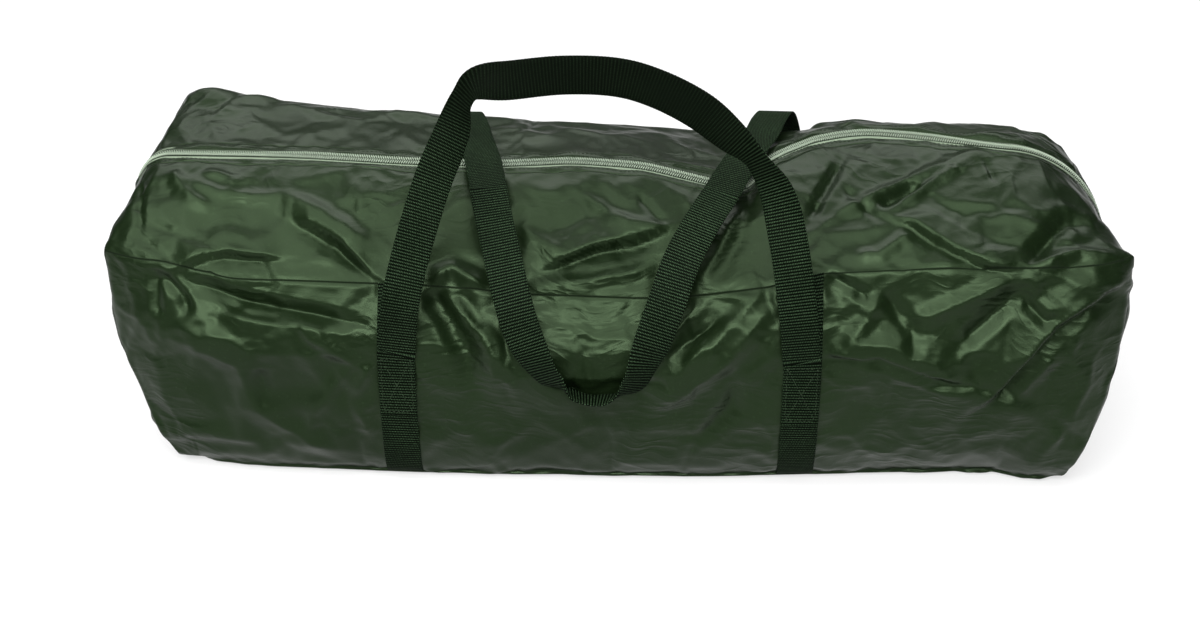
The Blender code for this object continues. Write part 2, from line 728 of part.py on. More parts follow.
def add_union(name, pieces, cuts, finish, origin):
    """One closed object from overlapping pieces, less the cuts, by exact Booleans."""
    made = []
    for k, (verts, polygons) in enumerate(pieces + cuts):
        made.append(add_object("%s_stock_%d" % (name, k), [bent(v) for v in verts], polygons, finish, origin))
        face_out_bmesh(made[-1])
    base = made[0]
    for k, other in enumerate(made[1:], 1):
        cut = base.modifiers.new("stock", "BOOLEAN")
        cut.operation = "UNION" if k < len(pieces) else "DIFFERENCE"
        cut.solver = "EXACT"
        cut.object = other
    bpy.context.view_layer.update()
    graph = bpy.context.evaluated_depsgraph_get()
    mesh = bpy.data.meshes.new_from_object(base.evaluated_get(graph))
    for stock in made:
        bpy.data.objects.remove(stock, do_unlink=True)
    result = bpy.data.objects.new(name, mesh)
    result.location = origin
    mesh.name = name
    mesh.materials.clear()
    mesh.materials.append(material(name, *finish))
    bpy.context.scene.collection.objects.link(result)
    return result


def face_out_bmesh(made):
    """Make a convex piece's faces point out of it."""
    mesh = made.data
    build = bmesh.new()
    build.from_mesh(mesh)
    bmesh.ops.recalc_face_normals(build, faces=build.faces)
    build.to_mesh(mesh)
    build.free()


plate_low = coil_top + gap
plate_high = plate_low + slider_plate
half_slider = slider_length / 2
wall_inner = chain_width / 2 + gap
wall_outer = wall_inner + slider_wall
under_high = tape_foot - under_clearance
under_low = under_high - slider_plate
sink = 0.0002
half_lug = lug_length / 2
lug_inner = pull_width / 2 + gap
pin_level = plate_high + pin_height
plate = box_mesh((-half_slider, half_slider), (-wall_outer, wall_outer), plate_low, plate_high, 4)
flange_low = tape_top + gap
walls = [box_mesh((-half_slider, half_slider), sorted((s * wall_inner, s * wall_outer)),
                  flange_low, plate_low + sink, 4) for s in (-1, 1)]
post_end = -half_slider + sink
post = box_mesh((post_end, post_end + slider_post_length), (-slider_post_width / 2, slider_post_width / 2),
                under_high - sink, plate_low + sink)
foot_plate = box_mesh((-half_slider, half_slider), (-wall_outer, wall_outer), under_low, under_high, 4)
lug_outer = lug_inner + lug_thickness
lugs = [box_mesh((-half_lug, half_lug), sorted((s * lug_inner, s * lug_outer)),
                 plate_high - sink, pin_level + pin_radius + sink) for s in (-1, 1)]
pin = cylinder_mesh((0, pin_level), pin_radius, lug_inner + sink)
arc_centre = Vector((end_arc_x, zip_offset, end_arc_z))
add_union("zip_slider", [plate] + walls + [post, foot_plate] + lugs + [pin], [], steel, arc_centre)
eye_outer = pin_radius + gap + eye_wall
eye = cylinder_mesh((0, pin_level), eye_outer, pull_width / 2, 16)
tab = box_mesh((-pull_length, -(pin_radius + gap + eye_wall / 2)), (-pull_width / 2, pull_width / 2),
               pin_level - pull_thickness / 2, pin_level + pull_thickness / 2)
bore = cylinder_mesh((0, pin_level), pin_radius + gap, pull_width, 16)
add_union("zip_pull", [eye, tab], [bore], steel, bent((0, 0, pin_level)))


def lathe(name, profile, start, finish, sides_round=20, closed=True, squash=1.0):
    """A body turned about an axis along X from a profile of (along, radius) points."""
    verts = []
    for along, radius in profile:
        for k in range(sides_round):
            angle = 2 * math.pi * k / sides_round
            verts.append((start[0] + along, start[1] + radius * math.cos(angle),
                          start[2] + radius * math.sin(angle) * squash))
    count = len(profile)
    polygons = []
    for p in range(count if closed else count - 1):
        q = (p + 1) % count
        for k in range(sides_round):
            n = (k + 1) % sides_round
            polygons.append((p * sides_round + k, q * sides_round + k, q * sides_round + n, p * sides_round + n))
    if not closed:
        polygons.append(tuple(range(sides_round)))
        polygons.append(tuple(reversed(range((count - 1) * sides_round, count * sides_round))))
    made = add_object(name, verts, polygons, finish)
    face_out(made)
    return made


inside_floor = floor_clearance + fabric_thickness + gap
tied_radius = roll_radius + gap + tie_thickness
roll_z = inside_floor + tied_radius
roll_y = tied_radius + roll_spacing / 2
for name, sign in (("outer_tent_roll", -1), ("groundsheet_roll", 1)):
    ends = roll_length / 2
    lathe(name, ((-ends, roll_radius - roll_edge), (-ends + roll_edge, roll_radius),
                 (ends - roll_edge, roll_radius), (ends, roll_radius - roll_edge)),
          (0, sign * roll_y, roll_z), cloth, 28, closed=False)
    for tie_side, centre in (("left", -tie_distance / 2), ("right", tie_distance / 2)):
        lathe("%s_tie_%s" % (name, tie_side),
              ((-tie_width / 2, roll_radius + gap), (-tie_width / 2, tied_radius),
               (tie_width / 2, tied_radius), (tie_width / 2, roll_radius + gap)),
              (centre, sign * roll_y, roll_z), webbing, 28)

pole_pitch = 2 * pole_radius + gap
sleeve_inner = pole_radius + gap
sleeve_outer = sleeve_inner + sleeve_wall
rest_reach = tied_radius + sleeve_outer + gap
pole_z = roll_z + math.sqrt(rest_reach ** 2 - (roll_y - pole_pitch) ** 2)
pole_places = [(k * pole_pitch, pole_z) for k in (-1, 0, 1)]
pole_places += [(k * pole_pitch, pole_z + pole_pitch * math.sqrt(3) / 2) for k in (-0.5, 0.5)]
tube_end = pole_length / 2
for number, (y, z) in enumerate(pole_places, 1):
    inner = pole_radius - pole_wall
    lathe("pole_section_%d" % number,
          ((-tube_end, inner), (-tube_end, pole_radius), (tube_end, pole_radius),
           (tube_end, pole_radius - spigot_step), (tube_end + spigot_length, pole_radius - spigot_step),
           (tube_end + spigot_length, inner - spigot_step), (tube_end - spigot_step, inner - spigot_step),
           (tube_end - 2 * spigot_step, inner)),
          (-spigot_length / 2, y, z), steel, 14)


def wrap_outline(centres, radius, count):
    """Outline of a band drawn tight round circles."""
    outline = []
    for k in range(count):
        angle = 2 * math.pi * (k + 0.5) / count
        direction = (math.cos(angle), math.sin(angle))
        y, z = max(centres, key=lambda c: c[0] * direction[0] + c[1] * direction[1])
        outline.append((y + radius * direction[0], z + radius * direction[1]))
    return outline


def add_sleeve(name, outline_inner, outline_outer, start, length, finish, floor_wall=0.0):
    """A fabric tube along X between two outlines. With a floor wall its first end is closed."""
    count = len(outline_inner)
    verts = []
    for x, outline in ((start, outline_outer), (start + length, outline_outer),
                       (start + length, outline_inner), (start + floor_wall, outline_inner)):
        verts += [(x, y, z) for y, z in outline]
    polygons = []
    for p in range(3 if floor_wall else 4):
        q = (p + 1) % 4
        polygons += [(p * count + k, q * count + k, q * count + (k + 1) % count, p * count + (k + 1) % count)
                     for k in range(count)]
    if floor_wall:
        polygons.append(tuple(range(count)))
        polygons.append(tuple(reversed(range(3 * count, 4 * count))))
    made = add_object(name, verts, polygons, finish)
    face_out(made)
    return made


sleeve_count = 24
add_sleeve("pole_sleeve", wrap_outline(pole_places, sleeve_inner, sleeve_count),
           wrap_outline(pole_places, sleeve_outer, sleeve_count), -sleeve_length / 2, sleeve_length, cloth)
plug = pole_radius - pole_wall - gap
plain_end = -tube_end - spigot_length / 2
lathe("pole_foot", ((0, pole_radius), (0, plug), (foot_length * 0.7, plug), (foot_length * 0.7, 0.0004),
                    (-foot_length * 0.3, 0.0004), (-foot_length * 0.3, pole_radius)),
      (plain_end - gap, *pole_places[0]), rubber, 14)
lathe("pole_tip", ((0, pole_radius), (0, plug), (tip_length / 2, plug), (tip_length / 2, 0.0004),
                   (-tip_length / 2, 0.0004), (-tip_length / 2, tip_radius), (-gap * 8, tip_radius),
                   (-gap * 8, pole_radius)),
      (plain_end - gap, *pole_places[3]), steel, 14)

peg_row_pitch = 2 * peg_radius + gap
peg_pitch = peg_row_pitch + peg_hook
pouch_foot = roll_z + tied_radius + gap
pouch_inner_half = pegs_in_a_row * peg_pitch / 2
pouch_y = roll_y + gap
first_peg_z = pouch_foot + pouch_wall + gap + peg_radius
pouch_low = first_peg_z - peg_radius - gap
pouch_high = first_peg_z + (peg_rows - 1) * peg_row_pitch + peg_radius + gap


def pouch_outline(grow):
    """Round-cornered outline of the peg pouch, grown by its wall."""
    corner = (pouch_high - pouch_low) / 2
    half = pouch_inner_half
    centres = [(pouch_y + s * half, pouch_low + corner) for s in (-1, 1)]
    return wrap_outline(centres, corner + grow, 16)


add_sleeve("peg_pouch", pouch_outline(0), pouch_outline(pouch_wall), pouch_x - pouch_length / 2, pouch_length,
           cloth, pouch_wall)


def add_peg(name, y, z):
    """A round wire peg: a point, a straight shank and a hook that turns to the rear."""
    start = pouch_x - pouch_length / 2 + pouch_wall + gap
    route = [(start, 0), (start + 4 * peg_radius, 0), (start + peg_length - peg_hook, 0)]
    bend = peg_hook / 2
    for degrees in (45, 90, 135, 180):
        angle = math.radians(degrees)
        route.append((start + peg_length - peg_hook + bend * math.sin(angle), bend * (1 - math.cos(angle))))
    verts = []
    corners = 6
    for k, (x, aside) in enumerate(route):
        before = route[max(k - 1, 0)]
        after = route[min(k + 1, len(route) - 1)]
        along = Vector((after[0] - before[0], after[1] - before[1], 0)).normalized()
        side = Vector((-along.y, along.x, 0))
        radius = 0.0006 if k == 0 else peg_radius
        for n in range(corners):
            angle = 2 * math.pi * n / corners
            verts.append(Vector((x, y + aside, z)) + side * radius * math.cos(angle)
                         + Vector((0, 0, 1)) * radius * math.sin(angle))
    polygons = [tuple(range(corners)), tuple(reversed(range((len(route) - 1) * corners, len(route) * corners)))]
    for p in range(len(route) - 1):
        a = p * corners
        polygons += [(a + n, a + corners + n, a + corners + (n + 1) % corners, a + (n + 1) % corners)
                     for n in range(corners)]
    made = add_object(name, verts, polygons, steel)
    face_out(made)


for row in range(peg_rows):
    for k in range(pegs_in_a_row):
        y = pouch_y + (k - (pegs_in_a_row - 1) / 2) * peg_pitch - peg_hook / 2
        add_peg("peg_%02d" % (row * pegs_in_a_row + k + 1), y, first_peg_z + row * peg_row_pitch)

# Centre the model over the origin
shift = Vector((0, 0, 0))
for axis in (0, 1):
    values = [v.co[axis] + made.location[axis] for made in bpy.data.objects for v in made.data.vertices]
    shift[axis] = -(min(values) + max(values)) / 2
for made in bpy.data.objects:
    made.location += shift
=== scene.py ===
import math
import random

import bmesh
import bpy
import numpy as np
from mathutils import Matrix, Vector, noise
from mathutils.bvhtree import BVHTree


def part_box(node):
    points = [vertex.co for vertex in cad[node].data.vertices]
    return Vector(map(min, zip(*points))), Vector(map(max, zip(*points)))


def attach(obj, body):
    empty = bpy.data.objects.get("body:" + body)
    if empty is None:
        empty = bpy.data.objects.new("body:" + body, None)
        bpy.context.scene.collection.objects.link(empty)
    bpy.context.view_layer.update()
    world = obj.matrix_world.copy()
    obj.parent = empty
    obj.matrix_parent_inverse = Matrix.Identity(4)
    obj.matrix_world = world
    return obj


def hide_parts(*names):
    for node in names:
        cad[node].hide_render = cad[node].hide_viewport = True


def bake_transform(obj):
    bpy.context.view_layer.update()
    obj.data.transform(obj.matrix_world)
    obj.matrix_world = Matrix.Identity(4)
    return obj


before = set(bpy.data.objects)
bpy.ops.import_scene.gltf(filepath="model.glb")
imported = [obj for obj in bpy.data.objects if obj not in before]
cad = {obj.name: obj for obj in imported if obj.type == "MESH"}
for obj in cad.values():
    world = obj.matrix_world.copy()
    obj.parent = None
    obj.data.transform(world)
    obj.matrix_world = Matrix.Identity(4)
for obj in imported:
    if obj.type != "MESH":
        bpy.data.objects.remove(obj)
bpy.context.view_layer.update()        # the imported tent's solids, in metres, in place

scene = bpy.context.scene
scene.view_settings.view_transform = "Standard"
bagMiddle = Vector((0, 0.0185, 0.1))      # inside the bag, under the zip
weldGap = 0.00002                         # nearer corners of a CAD mesh are one

# ---- camera ----
viewpoint = {
    "target": Vector((-0.0164, 0.0185, 0.072)),
    "azimuth": 2.4,        # degrees to the right of the bag's front
    "elevation": 30.0,
    "distance": 1.8,
    "lens": 62.2,
    "photoWidth": 1200,
    "photoHeight": 641,
}


def makeCamera(spec):
    turn, lift = math.radians(spec["azimuth"]), math.radians(spec["elevation"])
    look = Vector((-math.sin(turn) * math.cos(lift), math.cos(turn) * math.cos(lift), -math.sin(lift)))
    data = bpy.data.cameras.new("photoCamera")
    data.lens = spec["lens"]
    data.sensor_width = 36
    data.clip_end = 200
    camera = bpy.data.objects.new("photoCamera", data)
    camera.location = spec["target"] - look * spec["distance"]
    camera.rotation_euler = look.to_track_quat("-Z", "Y").to_euler()
    scene.collection.objects.link(camera)
    scene.camera = camera
    return camera.location.copy(), look


eye, look = makeCamera(viewpoint)
eyeRight = look.cross(Vector((0, 0, 1))).normalized()
eyeUp = eyeRight.cross(look)


def sightLine(across, down):
    # direction from the camera through a place in the photograph
    focal = viewpoint["lens"] / 36 * viewpoint["photoWidth"]
    sideways = across - viewpoint["photoWidth"] / 2
    upward = viewpoint["photoHeight"] / 2 - down
    return (look * focal + eyeRight * sideways + eyeUp * upward).normalized()


# ---- light and floor ----
studio = {
    "frontBox": {"place": (-0.3, -1.9, 1.75), "aim": (0, 0, 0.15), "size": (2.6, 0.7), "radiance": 17.0},
    "topBox": {"place": (-0.1, -0.45, 2.0), "aim": (0, 0, 0.15), "size": (2.6, 1.6), "radiance": 4.4},
    "backBox": {"place": (0, 1.6, 1.7), "aim": (0, 0, 0.15), "size": (2.6, 1.2), "radiance": 2.8},
    "key": {"place": (-1.5, -0.9, 2.3), "aim": (0, 0, 0.1), "size": (0.22, 0.22), "radiance": 60},
    "worldStrength": 0.06,
    "floorColour": 0.28,
    "floorGlow": 0.64,
}


def makeLamp(name, spec):
    data = bpy.data.lights.new(name, "AREA")
    data.shape = "RECTANGLE"
    data.size, data.size_y = spec["size"]
    data.energy = spec["radiance"] * math.pi * data.size * data.size_y
    lamp = bpy.data.objects.new(name, data)
    lamp.location = spec["place"]
    lamp.rotation_euler = (Vector(spec["aim"]) - lamp.location).to_track_quat("-Z", "Y").to_euler()
    scene.collection.objects.link(lamp)


for lampName in ("frontBox", "topBox", "backBox", "key"):
    makeLamp(lampName, studio[lampName])
world = bpy.data.worlds.new("studioWorld")
world.use_nodes = True
world.node_tree.nodes["Background"].inputs["Color"].default_value = (1, 1, 1, 1)
world.node_tree.nodes["Background"].inputs["Strength"].default_value = studio["worldStrength"]
scene.world = world


# ---- node helpers ----
def addNode(tree, kind, inputs=None, **settings):
    node = tree.nodes.new(kind)
    for key, value in settings.items():
        setattr(node, key, value)
    for key, value in (inputs or {}).items():
        if isinstance(value, bpy.types.NodeSocket):
            tree.links.new(value, node.inputs[key])
        else:
            node.inputs[key].default_value = value
    return node


def mathNode(tree, operation, a, b=0.0, clamp=False):
    return addNode(tree, "ShaderNodeMath", {0: a, 1: b}, operation=operation, use_clamp=clamp).outputs[0]


def times(tree, a, b, **settings):
    return mathNode(tree, "MULTIPLY", a, b, **settings)


def plus(tree, a, b, **settings):
    return mathNode(tree, "ADD", a, b, **settings)


def minus(tree, a, b, **settings):
    return mathNode(tree, "SUBTRACT", a, b, **settings)


def objectPlace(tree):
    return addNode(tree, "ShaderNodeTexCoord").outputs["Object"]


def noiseNode(tree, where, scale, detail, roughness=0.5):
    return addNode(tree, "ShaderNodeTexNoise", {"Vector": where, "Scale": scale, "Detail": detail,
                                                "Roughness": roughness}).outputs


def rangeNode(tree, value, low, high, toLow=0.0, toHigh=1.0, **settings):
    return addNode(tree, "ShaderNodeMapRange", {"Value": value, "From Min": low, "From Max": high,
                                                "To Min": toLow, "To Max": toHigh}, **settings).outputs[0]


def colourMix(tree, share, first, second):
    return addNode(tree, "ShaderNodeMix", {0: share, 6: first, 7: second}, data_type="RGBA").outputs[2]


def bumpNode(tree, height, distance, strength, **onto):
    return addNode(tree, "ShaderNodeBump", {"Height": height, "Distance": distance, "Strength": strength,
                                            **onto}).outputs["Normal"]


def bandMeasure(tree):
    # distances along a band and across it, from its own flat measure
    flat = addNode(tree, "ShaderNodeUVMap", uv_map="weave").outputs[0]
    parts = addNode(tree, "ShaderNodeSeparateXYZ", {0: flat}).outputs
    return flat, parts[0], parts[1]


def wired(tree, shader, colour, roughness, normal):
    tree.links.new(colour, shader.inputs["Base Color"])
    tree.links.new(roughness, shader.inputs["Roughness"])
    tree.links.new(normal, shader.inputs["Normal"])


def newMaterial(name, metallic=0.0, specular=0.5):
    made = bpy.data.materials.new(name)
    made.use_nodes = True
    shader = made.node_tree.nodes["Principled BSDF"]
    shader.inputs["Metallic"].default_value = metallic
    shader.inputs["Specular IOR Level"].default_value = specular
    return made, made.node_tree, shader


def floorMaterial():
    made, tree, shader = newMaterial("paleFloor", specular=0.0)
    shader.inputs["Roughness"].default_value = 1.0
    grain = addNode(tree, "ShaderNodeTexNoise", {"Scale": 40.0, "Detail": 3.0})
    tone = rangeNode(tree, grain.outputs["Fac"], 0.0, 1.0, studio["floorColour"] - 0.004,
                     studio["floorColour"] + 0.004)
    colour = addNode(tree, "ShaderNodeCombineColor", {0: tone, 1: tone, 2: tone})
    tree.links.new(colour.outputs[0], shader.inputs["Base Color"])
    path = addNode(tree, "ShaderNodeLightPath")
    seen = plus(tree, path.outputs["Is Camera Ray"], path.outputs["Is Glossy Ray"], clamp=True)
    seen = plus(tree, seen, path.outputs["Is Transmission Ray"], clamp=True)
    glow = times(tree, seen, studio["floorGlow"])
    shader.inputs["Emission Color"].default_value = (1, 1, 1, 1)
    tree.links.new(glow, shader.inputs["Emission Strength"])
    return made


floorShape = bmesh.new()
bmesh.ops.create_grid(floorShape, x_segments=8, y_segments=8, size=60)
floorMesh = bpy.data.meshes.new("floor")
bmesh.ops.translate(floorShape, verts=floorShape.verts, vec=(0, 0, -0.0004))
floorShape.to_mesh(floorMesh)
floor = bpy.data.objects.new("floor", floorMesh)
scene.collection.objects.link(floor)
floorMesh.materials.append(floorMaterial())
print("stage ready")

# ---- the bag's five nylon panels ----
panelNames = ["lower_panel", "front_top_panel", "rear_top_panel", "left_end_panel", "right_end_panel"]
fabric = {
    "rimEdge": 0.0018,       # the solids' walls have edges shorter than this, their faces none
    "weldDistance": 0.0012,
    "longEdge": 0.030,
    "growth": 0.014,         # how much the cloth swells in the simulation, which makes it crumple
    "frames": 16,
    "hold": 0.16,            # how firmly what is packed inside holds the cloth
    "seamHold": 0.55,
    "mostOut": 0.0085,
    "mostIn": 0.0095,
    "mostMoved": 0.009,
    "facetShare": 0.055,     # how many of the faces the crumpled form keeps
    "facetMix": 0.95,
    "castFrom": 0.014,       # how far outside the bag the rays begin that read the facets' heights
    "seamDip": 0.0012,
    "swell": ((0.0022, 22), (0.0012, 55)),      # heights of the small unevenness, and their frequencies
    "foldGain": 1.5,
    "hemBack": (0.0036, 0.0010),      # how far the front and rear hems are drawn back from the chain
    "hemEase": 0.022,
    "seed": 11,
}

# Folds read from the photograph: kind, height and width in millimetres, places along the fold.
# A lap is a fold that hangs over: its crest is on the left of the way it runs.
photoFolds = [
    ("lap", 4, 12, (175, 270), (200, 257), (225, 252), (255, 255), (285, 257)),
    ("valley", 1.5, 4, (140, 220), (175, 232), (225, 251)),
    ("valley", 1.5, 4, (142, 240), (177, 264)),
    ("lap", 6, 14, (287, 215), (315, 227), (340, 242), (375, 275)),
    ("ridge", 4, 12, (280, 195), (315, 212), (350, 235), (372, 243)),
    ("valley", 5, 10, (175, 277), (220, 292), (240, 300), (290, 310), (325, 317), (375, 327)),
    ("ridge", 3, 14, (210, 310), (275, 325), (350, 335)),
    ("valley", 2, 5, (220, 302), (250, 315), (285, 321)),
    ("valley", 3, 8, (154, 267), (159, 320)),
    ("valley", 3, 8, (157, 270), (182, 295), (190, 317)),
    ("ridge", 3, 10, (157, 177), (175, 177), (182, 190), (212, 212)),
    ("ridge", 3, 10, (180, 180), (225, 195), (285, 197)),
    ("ridge", 2, 8, (202, 170), (235, 182), (225, 194)),
    ("valley", 2, 6, (139, 177), (140, 232)),
    ("ridge", 3.5, 18, (160, 325), (190, 329), (220, 345), (240, 360), (250, 390), (265, 412), (312, 440),
     (370, 457)),
    ("valley", 2.5, 10, (260, 365), (266, 412)),
    ("ridge", 2.5, 10, (357, 360), (325, 395), (312, 415), (312, 437)),
    ("ridge", 2, 8, (372, 362), (352, 395)),
    ("ridge", 2, 9, (375, 397), (360, 410), (370, 437)),
    ("ridge", 5, 12, (427, 282), (452, 267), (487, 290)),
    ("valley", 6, 15, (427, 285), (450, 315), (465, 352), (472, 390), (467, 399)),
    ("ridge", 4, 12, (440, 287), (460, 312), (482, 335), (510, 380)),
    ("valley", 3, 8, (457, 287), (482, 332)),
    ("lap", 6, 14, (542, 270), (560, 260), (595, 247), (632, 240), (677, 225)),
    ("ridge", 2.5, 8, (547, 285), (580, 282), (620, 277), (660, 265)),
    ("ridge", 2, 8, (517, 227), (555, 250), (542, 255)),
    ("valley", 2.5, 6, (637, 192), (667, 230)),
    ("ridge", 2, 8, (570, 187), (650, 236)),
    ("ridge", 4, 12, (772, 280), (732, 327), (695, 365), (645, 417)),
    ("ridge", 4, 12, (775, 300), (752, 330), (727, 360), (657, 410)),
    ("valley", 5, 14, (727, 312), (707, 330), (670, 355), (640, 382), (639, 417)),
    ("valley", 4, 12, (722, 370), (735, 382), (732, 410), (695, 445)),
    ("ridge", 3, 10, (742, 207), (715, 260), (697, 285)),
    ("valley", 4, 8, (845, 152), (807, 220)),
    ("ridge", 3, 10, (807, 237), (842, 212), (875, 195), (920, 175), (980, 150)),
    ("valley", 2, 6, (842, 185), (880, 221)),
    ("valley", 5, 9, (877, 205), (922, 180)),
    ("ridge", 3, 8, (885, 217), (940, 177), (975, 157)),
    ("lap", 4, 12, (887, 217), (915, 226), (955, 250), (992, 266), (1020, 267)),
    ("ridge", 3, 10, (915, 230), (880, 255), (852, 255)),
    ("valley", 6, 14, (1025, 267), (1052, 235), (1067, 220), (1095, 220)),
    ("ridge", 4, 10, (1030, 267), (1080, 252), (1127, 260)),
    ("valley", 2, 5, (985, 160), (997, 182)),
    ("valley", 3.5, 10, (882, 291), (912, 325), (914, 360)),
    ("ridge", 3.5, 12, (912, 325), (955, 305), (1017, 277)),
    ("ridge", 3, 10, (882, 292), (867, 320), (842, 347)),
    ("valley", 2, 6, (890, 307), (910, 337)),
    ("valley", 3, 8, (827, 272), (872, 300)),
    ("lap", 5, 13, (822, 355), (880, 351), (955, 377), (965, 380)),
    ("lap", 5.5, 14, (965, 412), (995, 390), (1055, 325), (1092, 300), (1125, 275)),
    ("valley", 4, 8, (1025, 290), (1030, 307), (1045, 322), (1065, 315)),
    ("valley", 5, 12, (955, 350), (1005, 307), (1025, 287)),
    ("ridge", 2, 10, (1012, 400), (1060, 352)),
    ("ridge", 5.5, 40, (440, 372), (500, 372), (560, 374), (640, 374), (700, 368), (745, 352)),
    ("ridge", 5, 36, (150, 335), (220, 345), (290, 352), (365, 352)),
    ("ridge", 5, 34, (832, 360), (880, 368), (950, 390), (985, 396)),
    ("ridge", 3, 14, (832, 352), (880, 356), (930, 372), (962, 384)),
    ("valley", 4, 10, (425, 290), (446, 322), (462, 360)),
    ("ridge", 3.5, 9, (700, 300), (672, 338), (636, 392)),
]


def merged(name):
    # a CAD mesh with the corners that its faces share made one
    bm = bmesh.new()
    bm.from_mesh(cad[name].data)
    bmesh.ops.remove_doubles(bm, verts=bm.verts, dist=weldGap)
    return bm


def outerSkin(name):
    # the outer face of a panel's thin solid, as quads
    bm = merged(name)
    bmesh.ops.join_triangles(bm, faces=bm.faces, angle_face_threshold=math.radians(60),
                             angle_shape_threshold=math.radians(180))
    rim = [f for f in bm.faces if min(e.calc_length() for e in f.edges) < fabric["rimEdge"]]
    bmesh.ops.delete(bm, geom=rim, context="FACES")
    islands = []
    left = set(bm.faces)
    while left:
        island = [left.pop()]
        for face in island:
            for edge in face.edges:
                for other in edge.link_faces:
                    if other in left:
                        left.discard(other)
                        island.append(other)
        islands.append(island)

    def reach(island):
        places = np.array([v.co for f in island for v in f.verts])
        return float(np.ptp(places, axis=0).sum())

    islands.sort(key=reach)
    bmesh.ops.delete(bm, geom=[f for island in islands[:-1] for f in island], context="FACES")
    return bm


def wholeBag():
    # the five skins in one mesh, welded along their seams, open only along the zip
    bag = bmesh.new()
    for index, name in enumerate(panelNames):
        skin = outerSkin(name)
        for face in skin.faces:
            face.material_index = index
        part = bpy.data.meshes.new("skin")
        skin.to_mesh(part)
        bag.from_mesh(part)
        bpy.data.meshes.remove(part)
    bmesh.ops.remove_doubles(bag, verts=bag.verts, dist=fabric["weldDistance"])
    long = [e for e in bag.edges if e.calc_length() > fabric["longEdge"]]
    bmesh.ops.subdivide_edges(bag, edges=long, cuts=1, use_grid_fill=True)
    return bag


def meshObject(name, bm):
    mesh = bpy.data.meshes.new(name)
    bm.to_mesh(mesh)
    bm.free()
    made = bpy.data.objects.new(name, mesh)
    scene.collection.objects.link(made)
    return made


def smoothShaded(made):
    made.data.polygons.foreach_set("use_smooth", [True] * len(made.data.polygons))
    made.data.update()
    return made


def applied(made):
    # the object's mesh with its modifiers applied
    graph = bpy.context.evaluated_depsgraph_get()
    mesh = bpy.data.meshes.new_from_object(made.evaluated_get(graph), depsgraph=graph)
    made.modifiers.clear()
    old = made.data
    made.data = mesh
    bpy.data.meshes.remove(old)


def finished(made, look, slot, *nodes):
    # a piece that stays with the bag: its finish, its slot (which is not used) and the solids that it stands
    # for
    made.data.materials.append(look)
    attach(made, "bag")
    if nodes:
        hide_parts(*nodes)
    return made


def places(mesh):
    found = np.empty(len(mesh.vertices) * 3)
    mesh.vertices.foreach_get("co", found)
    return found.reshape(-1, 3)


def normals(mesh):
    found = np.empty(len(mesh.vertices) * 3)
    mesh.vertex_normals.foreach_get("vector", found)
    return found.reshape(-1, 3)


def setPlaces(mesh, found):
    mesh.vertices.foreach_set("co", np.ascontiguousarray(found).ravel())
    mesh.update()


def edgePairs(mesh):
    found = np.empty(len(mesh.edges) * 2, dtype=np.int64)
    mesh.edges.foreach_get("vertices", found)
    return found.reshape(-1, 2)


def storeLayer(mesh, label, values):
    wide = values.ndim == 2
    layer = mesh.attributes.new(label, "FLOAT_VECTOR" if wide else "FLOAT", "POINT")
    layer.data.foreach_set("vector" if wide else "value", np.ascontiguousarray(values).ravel())


def takenLayer(mesh, label, wide):
    # a layer's values, and the layer removed
    found = np.empty(len(mesh.vertices) * (3 if wide else 1))
    mesh.attributes[label].data.foreach_get("vector" if wide else "value", found)
    mesh.attributes.remove(mesh.attributes[label])
    return found.reshape(-1, 3) if wide else found


bagShape = wholeBag()
creaseLayer = bagShape.edges.layers.float.new("crease_edge")
for edge in bagShape.edges:
    kinds = {f.material_index for f in edge.link_faces}
    if len(kinds) > 1 or len(edge.link_faces) == 1:
        edge[creaseLayer] = 0.7 if len(kinds) > 1 else 1.0
print("skin", len(bagShape.verts), len(bagShape.faces))
bag = meshObject("bagSkin", bagShape)
smooth = bag.modifiers.new("smooth", "SUBSURF")
smooth.levels = smooth.render_levels = 2
corners = places(bag.data)
for _ in range(4):       # smoothing rounds corners off, so they are set out until it meets the solids' faces
    graph = bpy.context.evaluated_depsgraph_get()
    rounded = places(bag.evaluated_get(graph).data)[:len(corners)]
    setPlaces(bag.data, places(bag.data) + corners - rounded)
applied(bag)
print("corners within", round(float(np.abs(places(bag.data)[:len(corners)] - corners).max()) * 1000, 2), "mm")
print("smooth bag", len(bag.data.vertices), "vertices")

# ---- the chain's line, and the hems drawn back from it ----
def stepAt(line, k):
    # from the entry before to the entry after
    return line[min(k + 1, len(line) - 1)] - line[max(k - 1, 0)]


def runningLengths(marks):
    found = [0.0]
    for a, b in zip(marks, marks[1:]):
        found.append(found[-1] + (b - a).length)
    return found


def zipLine():
    # (middle, across to the rear, out) along the chain, from the left end over the bag to the right end
    found = {}
    for side in ("front", "rear"):
        bm = merged("zip_coil_" + side)
        marks = sorted((math.atan2(v.co.x, v.co.z - bagMiddle.z), v.co.copy()) for v in bm.verts)
        bm.free()
        found[side] = [marks[k:k + 4] for k in range(0, len(marks), 4)]
    line = []
    for front, rear in zip(found["front"], found["rear"]):
        a = sum((co for _, co in front), Vector()) / len(front)
        b = sum((co for _, co in rear), Vector()) / len(rear)
        line.append(((a + b) / 2, (b - a).normalized()))
    stations = []
    middles = [middle for middle, _ in line]
    for k, (middle, across) in enumerate(line):
        tangent = stepAt(middles, k).normalized()
        out = tangent.cross(across)
        if out.dot(middle - bagMiddle) < 0:
            out = -out
        stations.append((middle, across, out.normalized()))
    return stations


chain = zipLine()
print("zip stations", len(chain))

